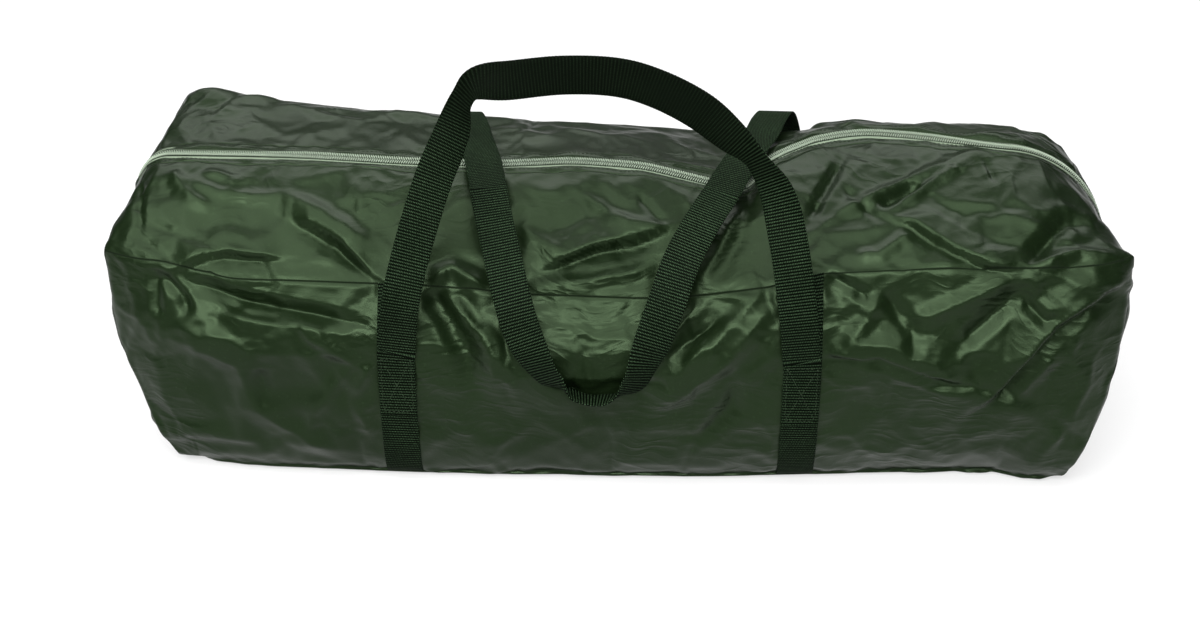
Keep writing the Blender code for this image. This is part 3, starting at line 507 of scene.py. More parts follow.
pairs = edgePairs(bag.data)
loopEdges = np.empty(len(bag.data.loops), dtype=np.int64)
bag.data.loops.foreach_get("edge_index", loopEdges)
counts = np.bincount(loopEdges, minlength=len(pairs))
hemEdges = pairs[counts == 1]
atHem = np.zeros(len(bag.data.vertices), bool)
atHem[hemEdges.ravel()] = True
lengths = np.linalg.norm(np.diff(places(bag.data)[pairs], axis=1)[:, 0], axis=1)


def spreadLimit(limit, slope, rounds):
    # let a limit open up gradually away from where it is tight
    for _ in range(rounds):
        for a, b in ((0, 1), (1, 0)):
            np.minimum.at(limit, pairs[:, a], limit[pairs[:, b]] + lengths * slope)
    return limit


hemRoom = np.where(atHem, 0.0, 1.0)
hemRoom = spreadLimit(hemRoom, 1.0, 14)      # distance from the hem, measured along the cloth


def drawnBack(found, ups):
    # the cloth along the zip moved away from the chain, least at the slot's two ends
    moved = found.copy()
    for k in np.nonzero(hemRoom < fabric["hemEase"])[0]:
        place = Vector(found[k])
        middle, across, _ = min(chain, key=lambda c: (c[0] - place).length_squared)
        aside = (place - middle).dot(across)
        sure = min(1.0, abs(aside) / 0.004)
        back = fabric["hemBack"][aside > 0] * sure * (1 - hemRoom[k] / fabric["hemEase"])
        along = across - Vector(ups[k]) * across.dot(Vector(ups[k]))
        moved[k] += np.array(along) * math.copysign(back, aside)
    return moved


setPlaces(bag.data, drawnBack(places(bag.data), normals(bag.data)))

# ---- folds ----
rest = places(bag.data)
restNormals = normals(bag.data)
surface = BVHTree.FromObject(bag, bpy.context.evaluated_depsgraph_get())


def onBag(across, down):
    hit, normal, _, _ = surface.ray_cast(eye, sightLine(across, down))
    return (hit, normal) if hit else None


def tracedFold(marks, step=8.0):
    # places on the bag along a line of marks in the photograph
    found = []
    for (x0, y0), (x1, y1) in zip(marks, marks[1:]):
        count = max(1, round(math.hypot(x1 - x0, y1 - y0) / step))
        for k in range(count):
            found.append(onBag(x0 + (x1 - x0) * k / count, y0 + (y1 - y0) * k / count))
    found.append(onBag(*marks[-1]))
    return [f for f in found if f]


def wanderingFold(rng, start, normal, heading, length, step=0.006):
    # places along a slightly bent line over the bag
    found = [(start, normal)]
    place = start
    bend = rng.uniform(-6, 6)
    for _ in range(int(length / step)):
        heading = (heading - normal * heading.dot(normal)).normalized()
        heading.rotate(Matrix.Rotation(math.radians(bend + rng.uniform(-5, 5)), 3, normal))
        place, normal, _, _ = surface.find_nearest(place + heading * step)
        found.append((place, normal))
    return found


def foldProfile(kind, side, width):
    # height across a fold, from its middle line; side is positive on its crest's side
    if kind == "lap":
        crest = np.clip(1 - side / (1.9 * width), 0, 1) * (side >= 0)
        below = np.where(side > -0.3 * width, 1 + side / (0.3 * width) * 1.45,
                         -0.45 * (1 + (side + 0.3 * width) / (0.9 * width)))
        return np.where(side >= 0, crest, np.where(side > -1.2 * width, below, 0))
    tent = np.clip(1 - np.abs(side) / width, 0, 1) ** 1.2
    return tent if kind == "ridge" else -tent


def addFold(heights, base, outward, kind, height, width, line):
    # lay one fold's profile over the places of base near its line
    if len(line) < 2:
        return
    spots = np.array([p for p, _ in line])
    ups = np.array([n for _, n in line])
    low, high = spots.min(0) - 2.2 * width, spots.max(0) + 2.2 * width
    near = np.nonzero(((base > low) & (base < high)).all(1))[0]
    if not len(near):
        return
    best = np.full(len(near), 1e9)
    side = np.zeros(len(near))
    along = np.zeros(len(near))
    total = len(line) - 1
    for k in range(total):
        run = spots[k + 1] - spots[k]
        size = np.dot(run, run)
        if size < 1e-10:
            continue
        off = base[near] - spots[k]
        share = np.clip(off @ run / size, 0, 1)
        gap = off - share[:, None] * run
        reach = np.sqrt((gap * gap).sum(1))
        left = np.cross(ups[k], run)
        closer = reach < best
        best = np.where(closer, reach, best)
        side = np.where(closer, np.sign(gap @ left) * reach, side)
        along = np.where(closer, (k + share) / total, along)
    taper = np.clip(np.minimum(along, 1 - along) / 0.22, 0.12, 1)
    facing = (outward[near] @ ups[total // 2]) > 0.2
    heights[near] += height * foldProfile(kind, side, width) * taper * facing


foldHeights = np.zeros(len(rest))

# Where the photograph sees the bag, few more folds are added; its rear, top and ends get their own
rng = random.Random(fabric["seed"])
seen = np.array([look.dot(Vector(n)) < -0.15 for n in restNormals])
wandering = {"hidden": 190, "seen": 60, "height": (0.0016, 0.0042), "width": (0.006, 0.013),
             "length": (0.03, 0.13)}
madeFolds = {"hidden": 0, "seen": 0}
while madeFolds["hidden"] < wandering["hidden"] or madeFolds["seen"] < wandering["seen"]:
    v = rng.randrange(len(rest))
    group = "seen" if seen[v] else "hidden"
    if madeFolds[group] >= wandering[group] or rest[v][2] < 0.012:
        continue
    madeFolds[group] += 1
    normal = Vector(restNormals[v])
    level = normal.cross(Vector((0, 0, 1)))
    if level.length < 0.2:
        level = Vector((1, 0, 0))
    heading = level.normalized() * rng.choice((-1, 1))
    heading.rotate(Matrix.Rotation(math.radians(rng.gauss(0, 38)), 3, normal))
    line = wanderingFold(rng, Vector(rest[v]), normal, heading, rng.uniform(*wandering["length"]))
    scale = 0.8 if group == "seen" else 1.2
    addFold(foldHeights, rest, restNormals, rng.choice(("ridge", "ridge", "valley", "lap")),
            rng.uniform(*wandering["height"]) * scale, rng.uniform(*wandering["width"]), line)

(broad, slow), (small, quick) = fabric["swell"]
for k, place in enumerate(rest):
    p = Vector(place)
    foldHeights[k] += broad * noise.noise(p * slow) + small * noise.noise(p * quick + Vector((7, 3, 1)))
print("folds laid", madeFolds)

# ---- how far each place may move: not at all under the webbing, and clear of what hangs over it ----
limits = {
    "clear": 0.0022,           # between the cloth and what lies over it
    "hemDepth": 0.0004,
    "webDepth": 0.0006,
    "edgeHeight": 0.018,       # near the floor the cloth moves in less
    "edgeDepth": 0.0012,
    "lift": 0.0008,            # above the floor
    "puckerHem": (0.0011, 0.013, 0.009),      # size, middle and spread from the hem
    "puckerSeam": (0.0009, 0.006, 0.006),
}
webbingNodes = ["base_strap_left", "base_strap_right", "front_handle_end_left", "front_handle_end_right",
                "rear_handle_strand_left", "rear_handle_strand_right", "rear_handle_loop", "front_handle",
                "zip_slider", "zip_pull"]
graph = bpy.context.evaluated_depsgraph_get()
overhead = [BVHTree.FromObject(cad[name], graph) for name in webbingNodes]
room = np.full(len(rest), fabric["mostOut"])
for k, place in enumerate(rest):
    start, outward = Vector(place) - Vector(restNormals[k]) * 0.001, Vector(restNormals[k])
    for tree in overhead:
        gap = tree.ray_cast(start, outward, fabric["mostOut"] + 0.003)[3]
        if gap is not None:
            room[k] = min(room[k], max(0.0, gap - limits["clear"]))

room = np.where(atHem, 0.0, room)
room = spreadLimit(room, 0.55, 14)
depth = np.where(hemRoom < 0.004, limits["hemDepth"], fabric["mostIn"])
depth = np.where(room < 0.0002, limits["webDepth"], depth)
depth = spreadLimit(depth, 0.6, 14)
flatFloor = rest[:, 2] < 0.004
depth = np.where(rest[:, 2] < limits["edgeHeight"], np.minimum(depth, limits["edgeDepth"]), depth)
depth = spreadLimit(depth, 0.4, 6)
room = np.where(flatFloor, limits["lift"], room)

# the seam at half height is sewn down and pulls in
facesRound = {}
for polygon in bag.data.polygons:
    for key in polygon.edge_keys:
        facesRound.setdefault(key, set()).add(polygon.material_index)
onSeam = np.zeros(len(rest), bool)
for key, kinds in facesRound.items():
    if len(kinds) > 1:
        onSeam[list(key)] = True
seamRoom = spreadLimit(np.where(onSeam, 0.0, 1.0), 1.0, 14)
for label, values in (("seamGap", seamRoom), ("hemGap", hemRoom)):
    storeLayer(bag.data, label, np.minimum(values, 0.05))


def pucker(away, size, middle, spread):
    return size * math.exp(-((away - middle) / spread) ** 2)


for k, place in enumerate(rest):       # sewing gathers the cloth into small puckers
    p = Vector(place)
    gather = pucker(hemRoom[k], *limits["puckerHem"]) * (0.4 + 1.2 * abs(noise.noise(p * 13)))
    gather += pucker(seamRoom[k], *limits["puckerSeam"]) * (0.3 + 1.4 * abs(noise.noise(p * 17)))
    foldHeights[k] += gather * noise.noise(Vector((p.x * 120, p.y * 18, p.z * 18)))
foldHeights = np.where(onSeam, foldHeights * 0.4 - fabric["seamDip"], foldHeights)
foldHeights = np.clip(foldHeights, -depth, room)

# crumple into flat facets with crisp edges: a copy of the folded form keeps few faces, and gives its
# heights back
setPlaces(bag.data, rest + restNormals * foldHeights[:, None])
crumpled = bag.copy()
crumpled.data = bag.data.copy()
scene.collection.objects.link(crumpled)
fewer = crumpled.modifiers.new("fewer", "DECIMATE")
fewer.ratio = fabric["facetShare"]
bpy.context.view_layer.update()
applied(crumpled)
facets = BVHTree.FromObject(crumpled, bpy.context.evaluated_depsgraph_get())
print("facets", len(crumpled.data.polygons))
bpy.data.objects.remove(crumpled)
faceted = foldHeights.copy()
for k, place in enumerate(rest):
    outward = Vector(restNormals[k])
    gap = facets.ray_cast(Vector(place) + outward * fabric["castFrom"], -outward, 0.03)[3]
    if gap is not None:
        faceted[k] = fabric["castFrom"] - gap
foldHeights += fabric["facetMix"] * (faceted - foldHeights) * (hemRoom > 0.008)
foldHeights = np.clip(foldHeights, -depth, room)
setPlaces(bag.data, rest + restNormals * foldHeights[:, None])
print("crumpled", round(float(foldHeights.min()), 4), round(float(foldHeights.max()), 4))


clothSettings = {
    "quality": 5,
    "mass": 0.15,
    "tension_stiffness": 25,
    "compression_stiffness": 25,
    "shear_stiffness": 12,
    "bending_stiffness": 0.12,
    "vertex_group_mass": "hold",
    "pin_stiffness": 1.0,
    "shrink_min": -fabric["growth"],
}


def crumple(made):
    # cloth that swells a little inside the hold of what is packed, so that it buckles into creases
    folded = places(made.data)
    hold = made.vertex_groups.new(name="hold")
    firm = np.clip(np.where(onSeam, fabric["seamHold"], fabric["hold"]) + (room < 0.0015) * 0.8
                   + (hemRoom < 0.006) * 1.0 + flatFloor * 0.6, 0, 1)
    for k, weight in enumerate(firm):
        hold.add([k], float(weight), "REPLACE")
    cloth = made.modifiers.new("crumple", "CLOTH")
    for key, value in clothSettings.items():
        setattr(cloth.settings, key, value)
    cloth.settings.effector_weights.gravity = 0
    cloth.collision_settings.use_collision = False
    cloth.point_cache.frame_start = 1
    cloth.point_cache.frame_end = fabric["frames"]
    for frameNumber in range(1, fabric["frames"] + 1):
        scene.frame_set(frameNumber)
    graph = bpy.context.evaluated_depsgraph_get()
    moved = places(made.evaluated_get(graph).data)
    made.modifiers.clear()
    made.vertex_groups.clear()
    scene.frame_set(1)
    shift = moved - folded
    far = np.linalg.norm(shift, axis=1)
    print("cloth moved", round(float(far.mean()) * 1000, 2), "mm on average")
    return folded + shift * np.minimum(1, fabric["mostMoved"] / np.maximum(far, 1e-9))[:, None]


crumpledPlaces = crumple(bag)


def keptInside(found, base, outward, lowest, highest):
    # hold each place within its room, measured along the outward direction
    height = ((found - base) * outward).sum(1)
    found = found + outward * (np.clip(height, -lowest, highest) - height)[:, None]
    found[:, 2] = np.maximum(found[:, 2], limits["lift"])
    return found


setPlaces(bag.data, keptInside(crumpledPlaces, rest, restNormals, depth, room))

# ---- finer cloth, and on it the folds of the photograph ----
carried = {"restPlace": rest, "restNormal": restNormals, "room": room, "depth": depth}
for label, values in carried.items():
    storeLayer(bag.data, label, values)
smoothShaded(bag)
finer = bag.modifiers.new("finer", "SUBSURF")
finer.levels = finer.render_levels = 1
creases = bag.data.attributes.get("crease_edge")
if creases:
    bag.data.attributes.remove(creases)
applied(bag)
fine = {label: takenLayer(bag.data, label, values.ndim == 2) for label, values in carried.items()}
fine["restNormal"] /= np.linalg.norm(fine["restNormal"], axis=1)[:, None]
photoHeights = np.zeros(len(bag.data.vertices))
for kind, height, width, *marks in photoFolds:
    addFold(photoHeights, fine["restPlace"], fine["restNormal"], kind, fabric["foldGain"] * height / 1000,
            width / 1000, tracedFold(marks))
print("folds of the photograph laid", round(photoHeights.min(), 4), round(photoHeights.max(), 4))
foldedPlaces = places(bag.data) + fine["restNormal"] * photoHeights[:, None]
setPlaces(bag.data, keptInside(foldedPlaces, fine["restPlace"], fine["restNormal"], fine["depth"],
                               fine["room"]))

# ---- finishes shared by several materials ----
def newGroup(name, ins, outs):
    tree = bpy.data.node_groups.new(name, "ShaderNodeTree")
    for label, value in ins:
        socket = tree.interface.new_socket(name=label, in_out="INPUT", socket_type="NodeSocketFloat")
        socket.default_value = value
    for label, kind in outs:
        tree.interface.new_socket(name=label, in_out="OUTPUT", socket_type=kind)
    return tree, addNode(tree, "NodeGroupInput").outputs, addNode(tree, "NodeGroupOutput").inputs


def crinkleGroup():
    # small sharp creases of coated cloth: ridged noise that runs in short bent lines
    tree, given, out = newGroup("clothCrinkle", [("Scale", 30.0), ("Bend", 0.6)],
                                [("Height", "NodeSocketFloat")])
    where = objectPlace(tree)
    swirl = noiseNode(tree, where, 12.0, 2.0)
    bentBy = addNode(tree, "ShaderNodeVectorMath", {0: swirl["Color"], 1: (0.5, 0.5, 0.5)},
                     operation="SUBTRACT")
    bentBy = addNode(tree, "ShaderNodeVectorMath", {0: bentBy.outputs[0], "Scale": 0.06}, operation="SCALE")
    bent = addNode(tree, "ShaderNodeVectorMath", {0: where, 1: bentBy.outputs[0]}, operation="ADD").outputs[0]
    total = None
    for turn, share in ((0.0, 1.0), (1.1, 0.8), (2.2, 0.6)):
        turned = addNode(tree, "ShaderNodeMapping", {
            "Vector": bent, "Rotation": (turn, turn * 0.7, turn * 1.3), "Scale": (1.0, 1.0, 3.2)})
        grain = noiseNode(tree, turned.outputs[0], given["Scale"], 1.5, 0.45)
        away = mathNode(tree, "ABSOLUTE", minus(tree, grain["Fac"], 0.5))
        ridge = minus(tree, 1.0, times(tree, away, 5.0), clamp=True)
        ridge = times(tree, mathNode(tree, "POWER", ridge, 1.5), share)
        total = ridge if total is None else plus(tree, total, ridge)
    strong = rangeNode(tree, noiseNode(tree, where, 11.0, 2.0)["Fac"], 0.40, 0.62)
    height = times(tree, times(tree, total, strong), given["Bend"])
    soft = times(tree, noiseNode(tree, bent, 90.0, 3.0, 0.55)["Fac"], 0.35)
    tree.links.new(plus(tree, height, soft), out["Height"])
    return tree


def plainWeaveGroup():
    # the threads of a plain weave
    tree, given, out = newGroup("plainWeave", [("Threads", 2400.0)], [("Height", "NodeSocketFloat")])
    where = objectPlace(tree)
    thread = {"Vector": where, "Scale": given["Threads"], "Distortion": 0.4}
    waves = [addNode(tree, "ShaderNodeTexWave", thread, wave_type="BANDS", bands_direction=way)
             for way in "XZ"]
    one, two = (wave.outputs["Fac"] for wave in waves)
    tree.links.new(times(tree, one, two), out["Height"])
    return tree


crinkle = crinkleGroup()
plainWeave = plainWeaveGroup()


def groupNode(tree, group, **values):
    node = addNode(tree, "ShaderNodeGroup", node_tree=group)
    for label, value in values.items():
        node.inputs[label].default_value = value
    return node


nylonFinish = {
    "dark": (0.0028, 0.0062, 0.0019, 1),
    "light": (0.0052, 0.0106, 0.0036, 1),
    "rubbed": (0.025, 0.045, 0.020, 1),
    # painted shade: the cloth's tone in the shade of the seam's groove
    "seam": (0.0010, 0.0024, 0.0008, 1),
    "roughness": (0.32, 0.40),
    "specular": 0.24,
    "tint": (0.62, 0.92, 0.52, 1),
    "crease": 0.0007,
    "hemWidth": 0.0105,        # the folded hem ends in a shallow groove
}


def nylonMaterial():
    made, tree, shader = newMaterial("coatedNylon", specular=nylonFinish["specular"])
    where = objectPlace(tree)
    folds = groupNode(tree, crinkle, Scale=26.0, Bend=0.6).outputs["Height"]
    weave = groupNode(tree, plainWeave, Threads=900.0).outputs["Height"]
    cloudy = rangeNode(tree, noiseNode(tree, where, 7.0, 5.0)["Fac"], 0.3, 0.7)
    tone = colourMix(tree, cloudy, nylonFinish["dark"], nylonFinish["light"])
    worn = rangeNode(tree, noiseNode(tree, where, 420.0, 2.0)["Fac"], 0.62, 0.80, toHigh=0.30)
    tone = colourMix(tree, worn, tone, nylonFinish["rubbed"])
    # painted shade: within about a millimetre of the seam at half height the cloth is darkened, as the shade
    # in its groove; it is also made rougher there
    seam = addNode(tree, "ShaderNodeAttribute", attribute_name="seamGap").outputs["Fac"]
    shade = rangeNode(tree, seam, 0.0003, 0.0012, 1.0, 0.0)
    tone = colourMix(tree, shade, tone, nylonFinish["seam"])
    gloss = rangeNode(tree, noiseNode(tree, where, 24.0, 3.0)["Fac"], 0.3, 0.7, *nylonFinish["roughness"])
    rough = plus(tree, gloss, times(tree, shade, 0.6), clamp=True)
    shader.inputs["Specular Tint"].default_value = nylonFinish["tint"]
    hem = addNode(tree, "ShaderNodeAttribute", attribute_name="hemGap").outputs["Fac"]
    groove = mathNode(tree, "ABSOLUTE", minus(tree, hem, nylonFinish["hemWidth"]))
    groove = times(tree, groove, 700.0, clamp=True)
    normal = bumpNode(tree, weave, 0.00002, 0.6)
    normal = bumpNode(tree, groove, 0.0007, 1.0, Normal=normal)
    normal = bumpNode(tree, folds, nylonFinish["crease"], 1.0, Normal=normal)
    wired(tree, shader, tone, rough, normal)
    return made


nylon = nylonMaterial()

# ---- cut the crumpled bag into its five panels ----
panels = {}
for index, name in enumerate(panelNames):
    piece = bmesh.new()
    piece.from_mesh(bag.data)
    bmesh.ops.delete(piece, geom=[f for f in piece.faces if f.material_index != index], context="FACES")
    for face in piece.faces:
        face.material_index = 0
    made = finished(meshObject(name.replace("_panel", "_cloth"), piece), nylon, "nylon", name)
    print("panel", made.name, "faces", len(made.data.polygons), "area",
          round(sum(p.area for p in made.data.polygons), 4))
    panels[name] = made
bpy.data.objects.remove(bag)

# ---- webbing: one ribbed band, bent along each route ----
webbing = {
    "width": 0.030,
    "thickness": 0.0014,
    "ribPitch": 0.0025,
    "ribHeight": 0.00016,
    "rowsPerRib": 4,
    "dotPitch": 0.0013,
    "flatShare": 0.955,        # of the half width, before the edge rounds off
    "edge": (0.985, 0.62),
    "ribInset": 0.0002,
    "base": 0.00012,           # how much thinner the webbing is between its ribs
    "nearest": 0.0008,
}
leftStrap, rightStrap = -0.1714, 0.1496
handleHinge = Vector((0.0006, -0.14247, 0.13028))
loopHinge = Vector((0.0006, -0.05798, 0.236))
rearTopEdge = Vector((0.0006, 0.16902, 0.245))

# Places along the middle of the webbing, from their hinge lines, with the webbing's turn in degrees
handleRoute = (
    (-0.171, 0.000, 0, 0), (-0.166, 0.000, 0.046, 0), (-0.157, 0.012, 0.085, 0), (-0.141, 0.028, 0.136, 0),
    (-0.125, 0.038, 0.175, -20), (-0.117, 0.043, 0.201, -52), (-0.106, 0.046, 0.213, -40),
    (-0.080, 0.046, 0.216, -10), (-0.040, 0.048, 0.220, 0), (0.000, 0.048, 0.219, 0),
    (0.031, 0.046, 0.211, 0), (0.0625, 0.042, 0.196, 0), (0.087, 0.038, 0.177, 22),
    (0.1075, 0.033, 0.159, 50), (0.124, 0.027, 0.134, 25), (0.1345, 0.013, 0.096, 0),
    (0.1435, 0.000, 0.042, 0), (0.148, 0.000, 0, 0))
loopRoute = (
    (-0.103, 0.000, 0, -24), (-0.097, -0.026, -0.012, -28), (-0.089, -0.053, -0.028, -42),
    (-0.079, -0.083, -0.052, -62), (-0.069, -0.096, -0.080, -80), (-0.054, -0.099, -0.110, -84),
    (-0.034, -0.099, -0.129, -84), (-0.010, -0.099, -0.135, -84), (0.014, -0.099, -0.124, -84),
    (0.028, -0.096, -0.092, -82), (0.041, -0.084, -0.056, -66), (0.052, -0.062, -0.030, -44),
    (0.067, -0.032, -0.012, -28), (0.083, 0.000, 0, -24))
loopTurn = ((0, 0), (0.30, 0), (0.40, 35), (0.47, 82), (0.55, 82), (0.64, 40), (0.74, 0), (1, 0))
strandRoutes = {
    "left": ((-0.171, -0.0005, -0.111, 0), (-0.164, -0.008, -0.077, 20), (-0.153, -0.0245, -0.0465, 38),
             (-0.141, -0.0495, -0.0235, 63), (-0.132, -0.0855, -0.0138, 84), (-0.122, -0.1335, -0.009, 88),
             (-0.111, -0.1835, -0.006, 94), (-0.103, -0.227, -0.009, 118)),
    "right": ((0.148, -0.0005, -0.111, 0), (0.1455, -0.0045, -0.077, 18), (0.140, -0.0165, -0.046, 42),
              (0.133, -0.0485, -0.0185, 66), (0.125, -0.0835, -0.009, 78), (0.116, -0.1285, -0.004, 86),
              (0.100, -0.1785, -0.002, 92), (0.083, -0.227, -0.009, 118)),
}


def onRoute(route, share):
    # smooth place and turn along a route
    spans = len(route) - 1
    k = min(int(share * spans), spans - 1)
    t = share * spans - k
    p0, p1, p2, p3 = (Vector(route[i]) for i in (max(k - 1, 0), k, k + 1, min(k + 2, spans)))
    return 0.5 * (2 * p1 + (p2 - p0) * t + (2 * p0 - 5 * p1 + 4 * p2 - p3) * t * t
                  + (3 * p1 - p0 - 3 * p2 + p3) * t ** 3)


def easedRead(table, share):
    # smooth value between the table's places
    for (x0, y0), (x1, y1) in zip(table, table[1:]):
        if share <= x1:
            u = (share - x0) / (x1 - x0)
            return y0 + (y1 - y0) * u * u * (3 - 2 * u)
    return table[-1][1]


def faceOfHandle(share, turn, tangent):
    face = Vector((0, -1, 0.25))
    face = (face - tangent * face.dot(tangent)).normalized()
    face.rotate(Matrix.Rotation(math.radians(turn), 3, tangent))
    return face


def faceOfStrand(share, turn, tangent):
    return Vector((0, math.cos(math.radians(turn)), math.sin(math.radians(turn))))


def faceOfLoop(share, tilt, tangent):
    lean = math.radians(-tilt)
    face = Vector((0, -math.sin(lean), math.cos(lean)))
    face = (face - tangent * face.dot(tangent)).normalized()
    face.rotate(Matrix.Rotation(math.radians(easedRead(loopTurn, share)), 3, tangent))
    return face


def bandStations(route, origin, faceOf, count):
    # (middle, across, out) along a route
    found = []
    samples = [onRoute(route, k / (count - 1)) for k in range(count)]
    for k, sample in enumerate(samples):
        tangent = stepAt(samples, k).to_3d()
        if k in (0, count - 1):
            tangent.x = 0
        tangent.normalize()
        across = tangent.cross(faceOf(k / (count - 1), sample[3], tangent)).normalized()
        found.append((sample.to_3d() + origin, across, across.cross(tangent).normalized()))
    return found


def sewnStations(name, centre, keep=None):
    # (middle, across, out) along webbing that lies on the bag, read from its solid's three columns
    bm = merged(name)
    bm.normal_update()
    columns = {-1: [], 0: [], 1: []}
    for v in bm.verts:
        radial = Vector((0, v.co.y - bagMiddle.y, v.co.z - 0.11))
        side = round((v.co.x - centre) / (webbing["width"] / 2))
        if side in columns and (keep is None or keep(v.co)):
            angle = math.atan2(radial.y, -radial.z)
            columns[side].append((angle, v.normal.dot(radial) > 0, v.co.copy()))
    rows = {}
    for side, found in columns.items():
        for isOut in (True, False):
            rows[side, isOut] = [co for angle, out, co in sorted(found, key=lambda f: f[0]) if out == isOut]
    bm.free()
    stations = []
    for k, (top, under) in enumerate(zip(rows[0, True], rows[0, False])):
        across = (rows[1, True][k] - rows[-1, True][k]).normalized()
        stations.append(((top + under) / 2, across, (top - under).normalized()))
    return stations


def alongStations(stations, spacing):
    # stations at even steps along a smooth line through the given ones
    middles = [middle for middle, _, _ in stations]
    lengths = runningLengths(middles)
    count = max(2, round(lengths[-1] / spacing))

    def slope(k):
        return stepAt(middles, k) / stepAt(lengths, k)

    found = []
    k = 0
    for n in range(count + 1):
        s = lengths[-1] * n / count
        while k < len(stations) - 2 and s > lengths[k + 1]:
            k += 1
        u = (s - lengths[k]) / (lengths[k + 1] - lengths[k])
        step = lengths[k + 1] - lengths[k]
        near, far = stations[k], stations[k + 1]
        middle = (near[0] * ((1 + 2 * u) * (1 - u) ** 2) + far[0] * (u * u * (3 - 2 * u))
                  + slope(k) * (step * u * (1 - u) ** 2) - slope(k + 1) * (step * u * u * (1 - u)))
        across = near[1].lerp(far[1], u).normalized()
        out = near[2].lerp(far[2], u)
        out = (out - across * out.dot(across)).normalized()
        found.append((s, middle, across, out))
    return found


def bandSection():
    # places round the webbing's section: share of the half width, share of the half thickness
    flat, (wide, high) = webbing["flatShare"], webbing["edge"]
    found = [(-flat + 2 * flat * k / 8, 1.0) for k in range(9)]
    found += [(wide, high), (1.0, 0.0), (wide, -high)]
    found += [(flat - 2 * flat * k / 4, -1.0) for k in range(5)]
    found += [(-wide, -high), (-1.0, 0.0), (-wide, high)]
    return found


def bentBand(name, rows, places):
    # a closed band whose section stands at each row; places(row) gives offsets across and out
    around = len(places(rows[0]))
    bm = bmesh.new()
    bmesh.ops.create_grid(bm, x_segments=len(rows) - 1, y_segments=around, size=1)
    flat = bm.loops.layers.uv.new("weave")
    sections = [places(row) for row in rows]
    spot = {}
    for v in bm.verts:
        row = round((v.co.x + 1) / 2 * (len(rows) - 1))
        s, middle, across, out = rows[row]
        aside, rise = sections[row][round((v.co.y + 1) / 2 * around) % around]
        spot[v.index] = (s, aside)
        v.co = middle + across * aside + out * rise
    bm.verts.index_update()
    for face in bm.faces:
        for loop in face.loops:
            loop[flat].uv = spot[loop.vert.index]
    bmesh.ops.remove_doubles(bm, verts=bm.verts, dist=0.00001)
    bmesh.ops.holes_fill(bm, edges=[e for e in bm.edges if len(e.link_faces) == 1], sides=0)
    bmesh.ops.recalc_face_normals(bm, faces=bm.faces)
    for face in bm.faces:
        face.smooth = len(face.verts) == 4
    return meshObject(name, bm)


def webbingBand(name, stations, width=webbing["width"]):
    section = bandSection()
    half = width / 2

    def ribbed(row):
        rib = 0.5 + 0.5 * math.cos(2 * math.pi * row[0] / webbing["ribPitch"])
        thick = webbing["thickness"] / 2 - webbing["base"]
        return [(wide * (half - webbing["ribInset"] * (1 - rib)),
                 high * (thick + webbing["ribHeight"] * rib * (abs(high) > 0.9))) for wide, high in section]

    return bentBand(name, alongStations(stations, webbing["ribPitch"] / webbing["rowsPerRib"]), ribbed)


webbingFinish = {
    "ground": (0.0003, 0.0012, 0.0002, 1),
    # the raised threads' tone: partly their own colour, partly painted highlight on the rib crests
    "thread": (0.054, 0.096, 0.049, 1),
    "worn": (0.014, 0.028, 0.012, 1),
    # where painted shade on a handle's arch begins and where it is full, measured along the band from each
    # end
    "archShadeStart": (0.19, 0.29),
}


def webbingGroup():
    # rows of raised threads across a band, from its own flat measure
    tree, given, out = newGroup("bandWeave", [("Pitch", 0.0025), ("Dots", 0.0013)],
                                [("Mask", "NodeSocketFloat"), ("Height", "NodeSocketFloat")])
    flat, along, aside = bandMeasure(tree)
    wobble = noiseNode(tree, flat, 900.0, 1.0)["Fac"]
    shake = times(tree, minus(tree, wobble, 0.5), 0.0006)

    def waves(distance, pitch):
        angle = times(tree, mathNode(tree, "DIVIDE", distance, pitch), 2 * math.pi)
        return plus(tree, times(tree, mathNode(tree, "COSINE", angle), 0.5), 0.5)

    ribs = waves(plus(tree, along, shake), given["Pitch"])
    row = mathNode(tree, "FLOOR", plus(tree, mathNode(tree, "DIVIDE", along, given["Pitch"]), 0.5))
    shifted = plus(tree, aside, times(tree, row, 0.00065))
    dots = waves(plus(tree, shifted, shake), given["Dots"])
    mask = times(tree, mathNode(tree, "POWER", ribs, 2.6), mathNode(tree, "POWER", dots, 1.4))
    tree.links.new(mask, out["Mask"])
    fine = times(tree, waves(aside, 0.00065), 0.25)
    tree.links.new(plus(tree, mask, fine), out["Height"])
    return tree


bandWeave = webbingGroup()


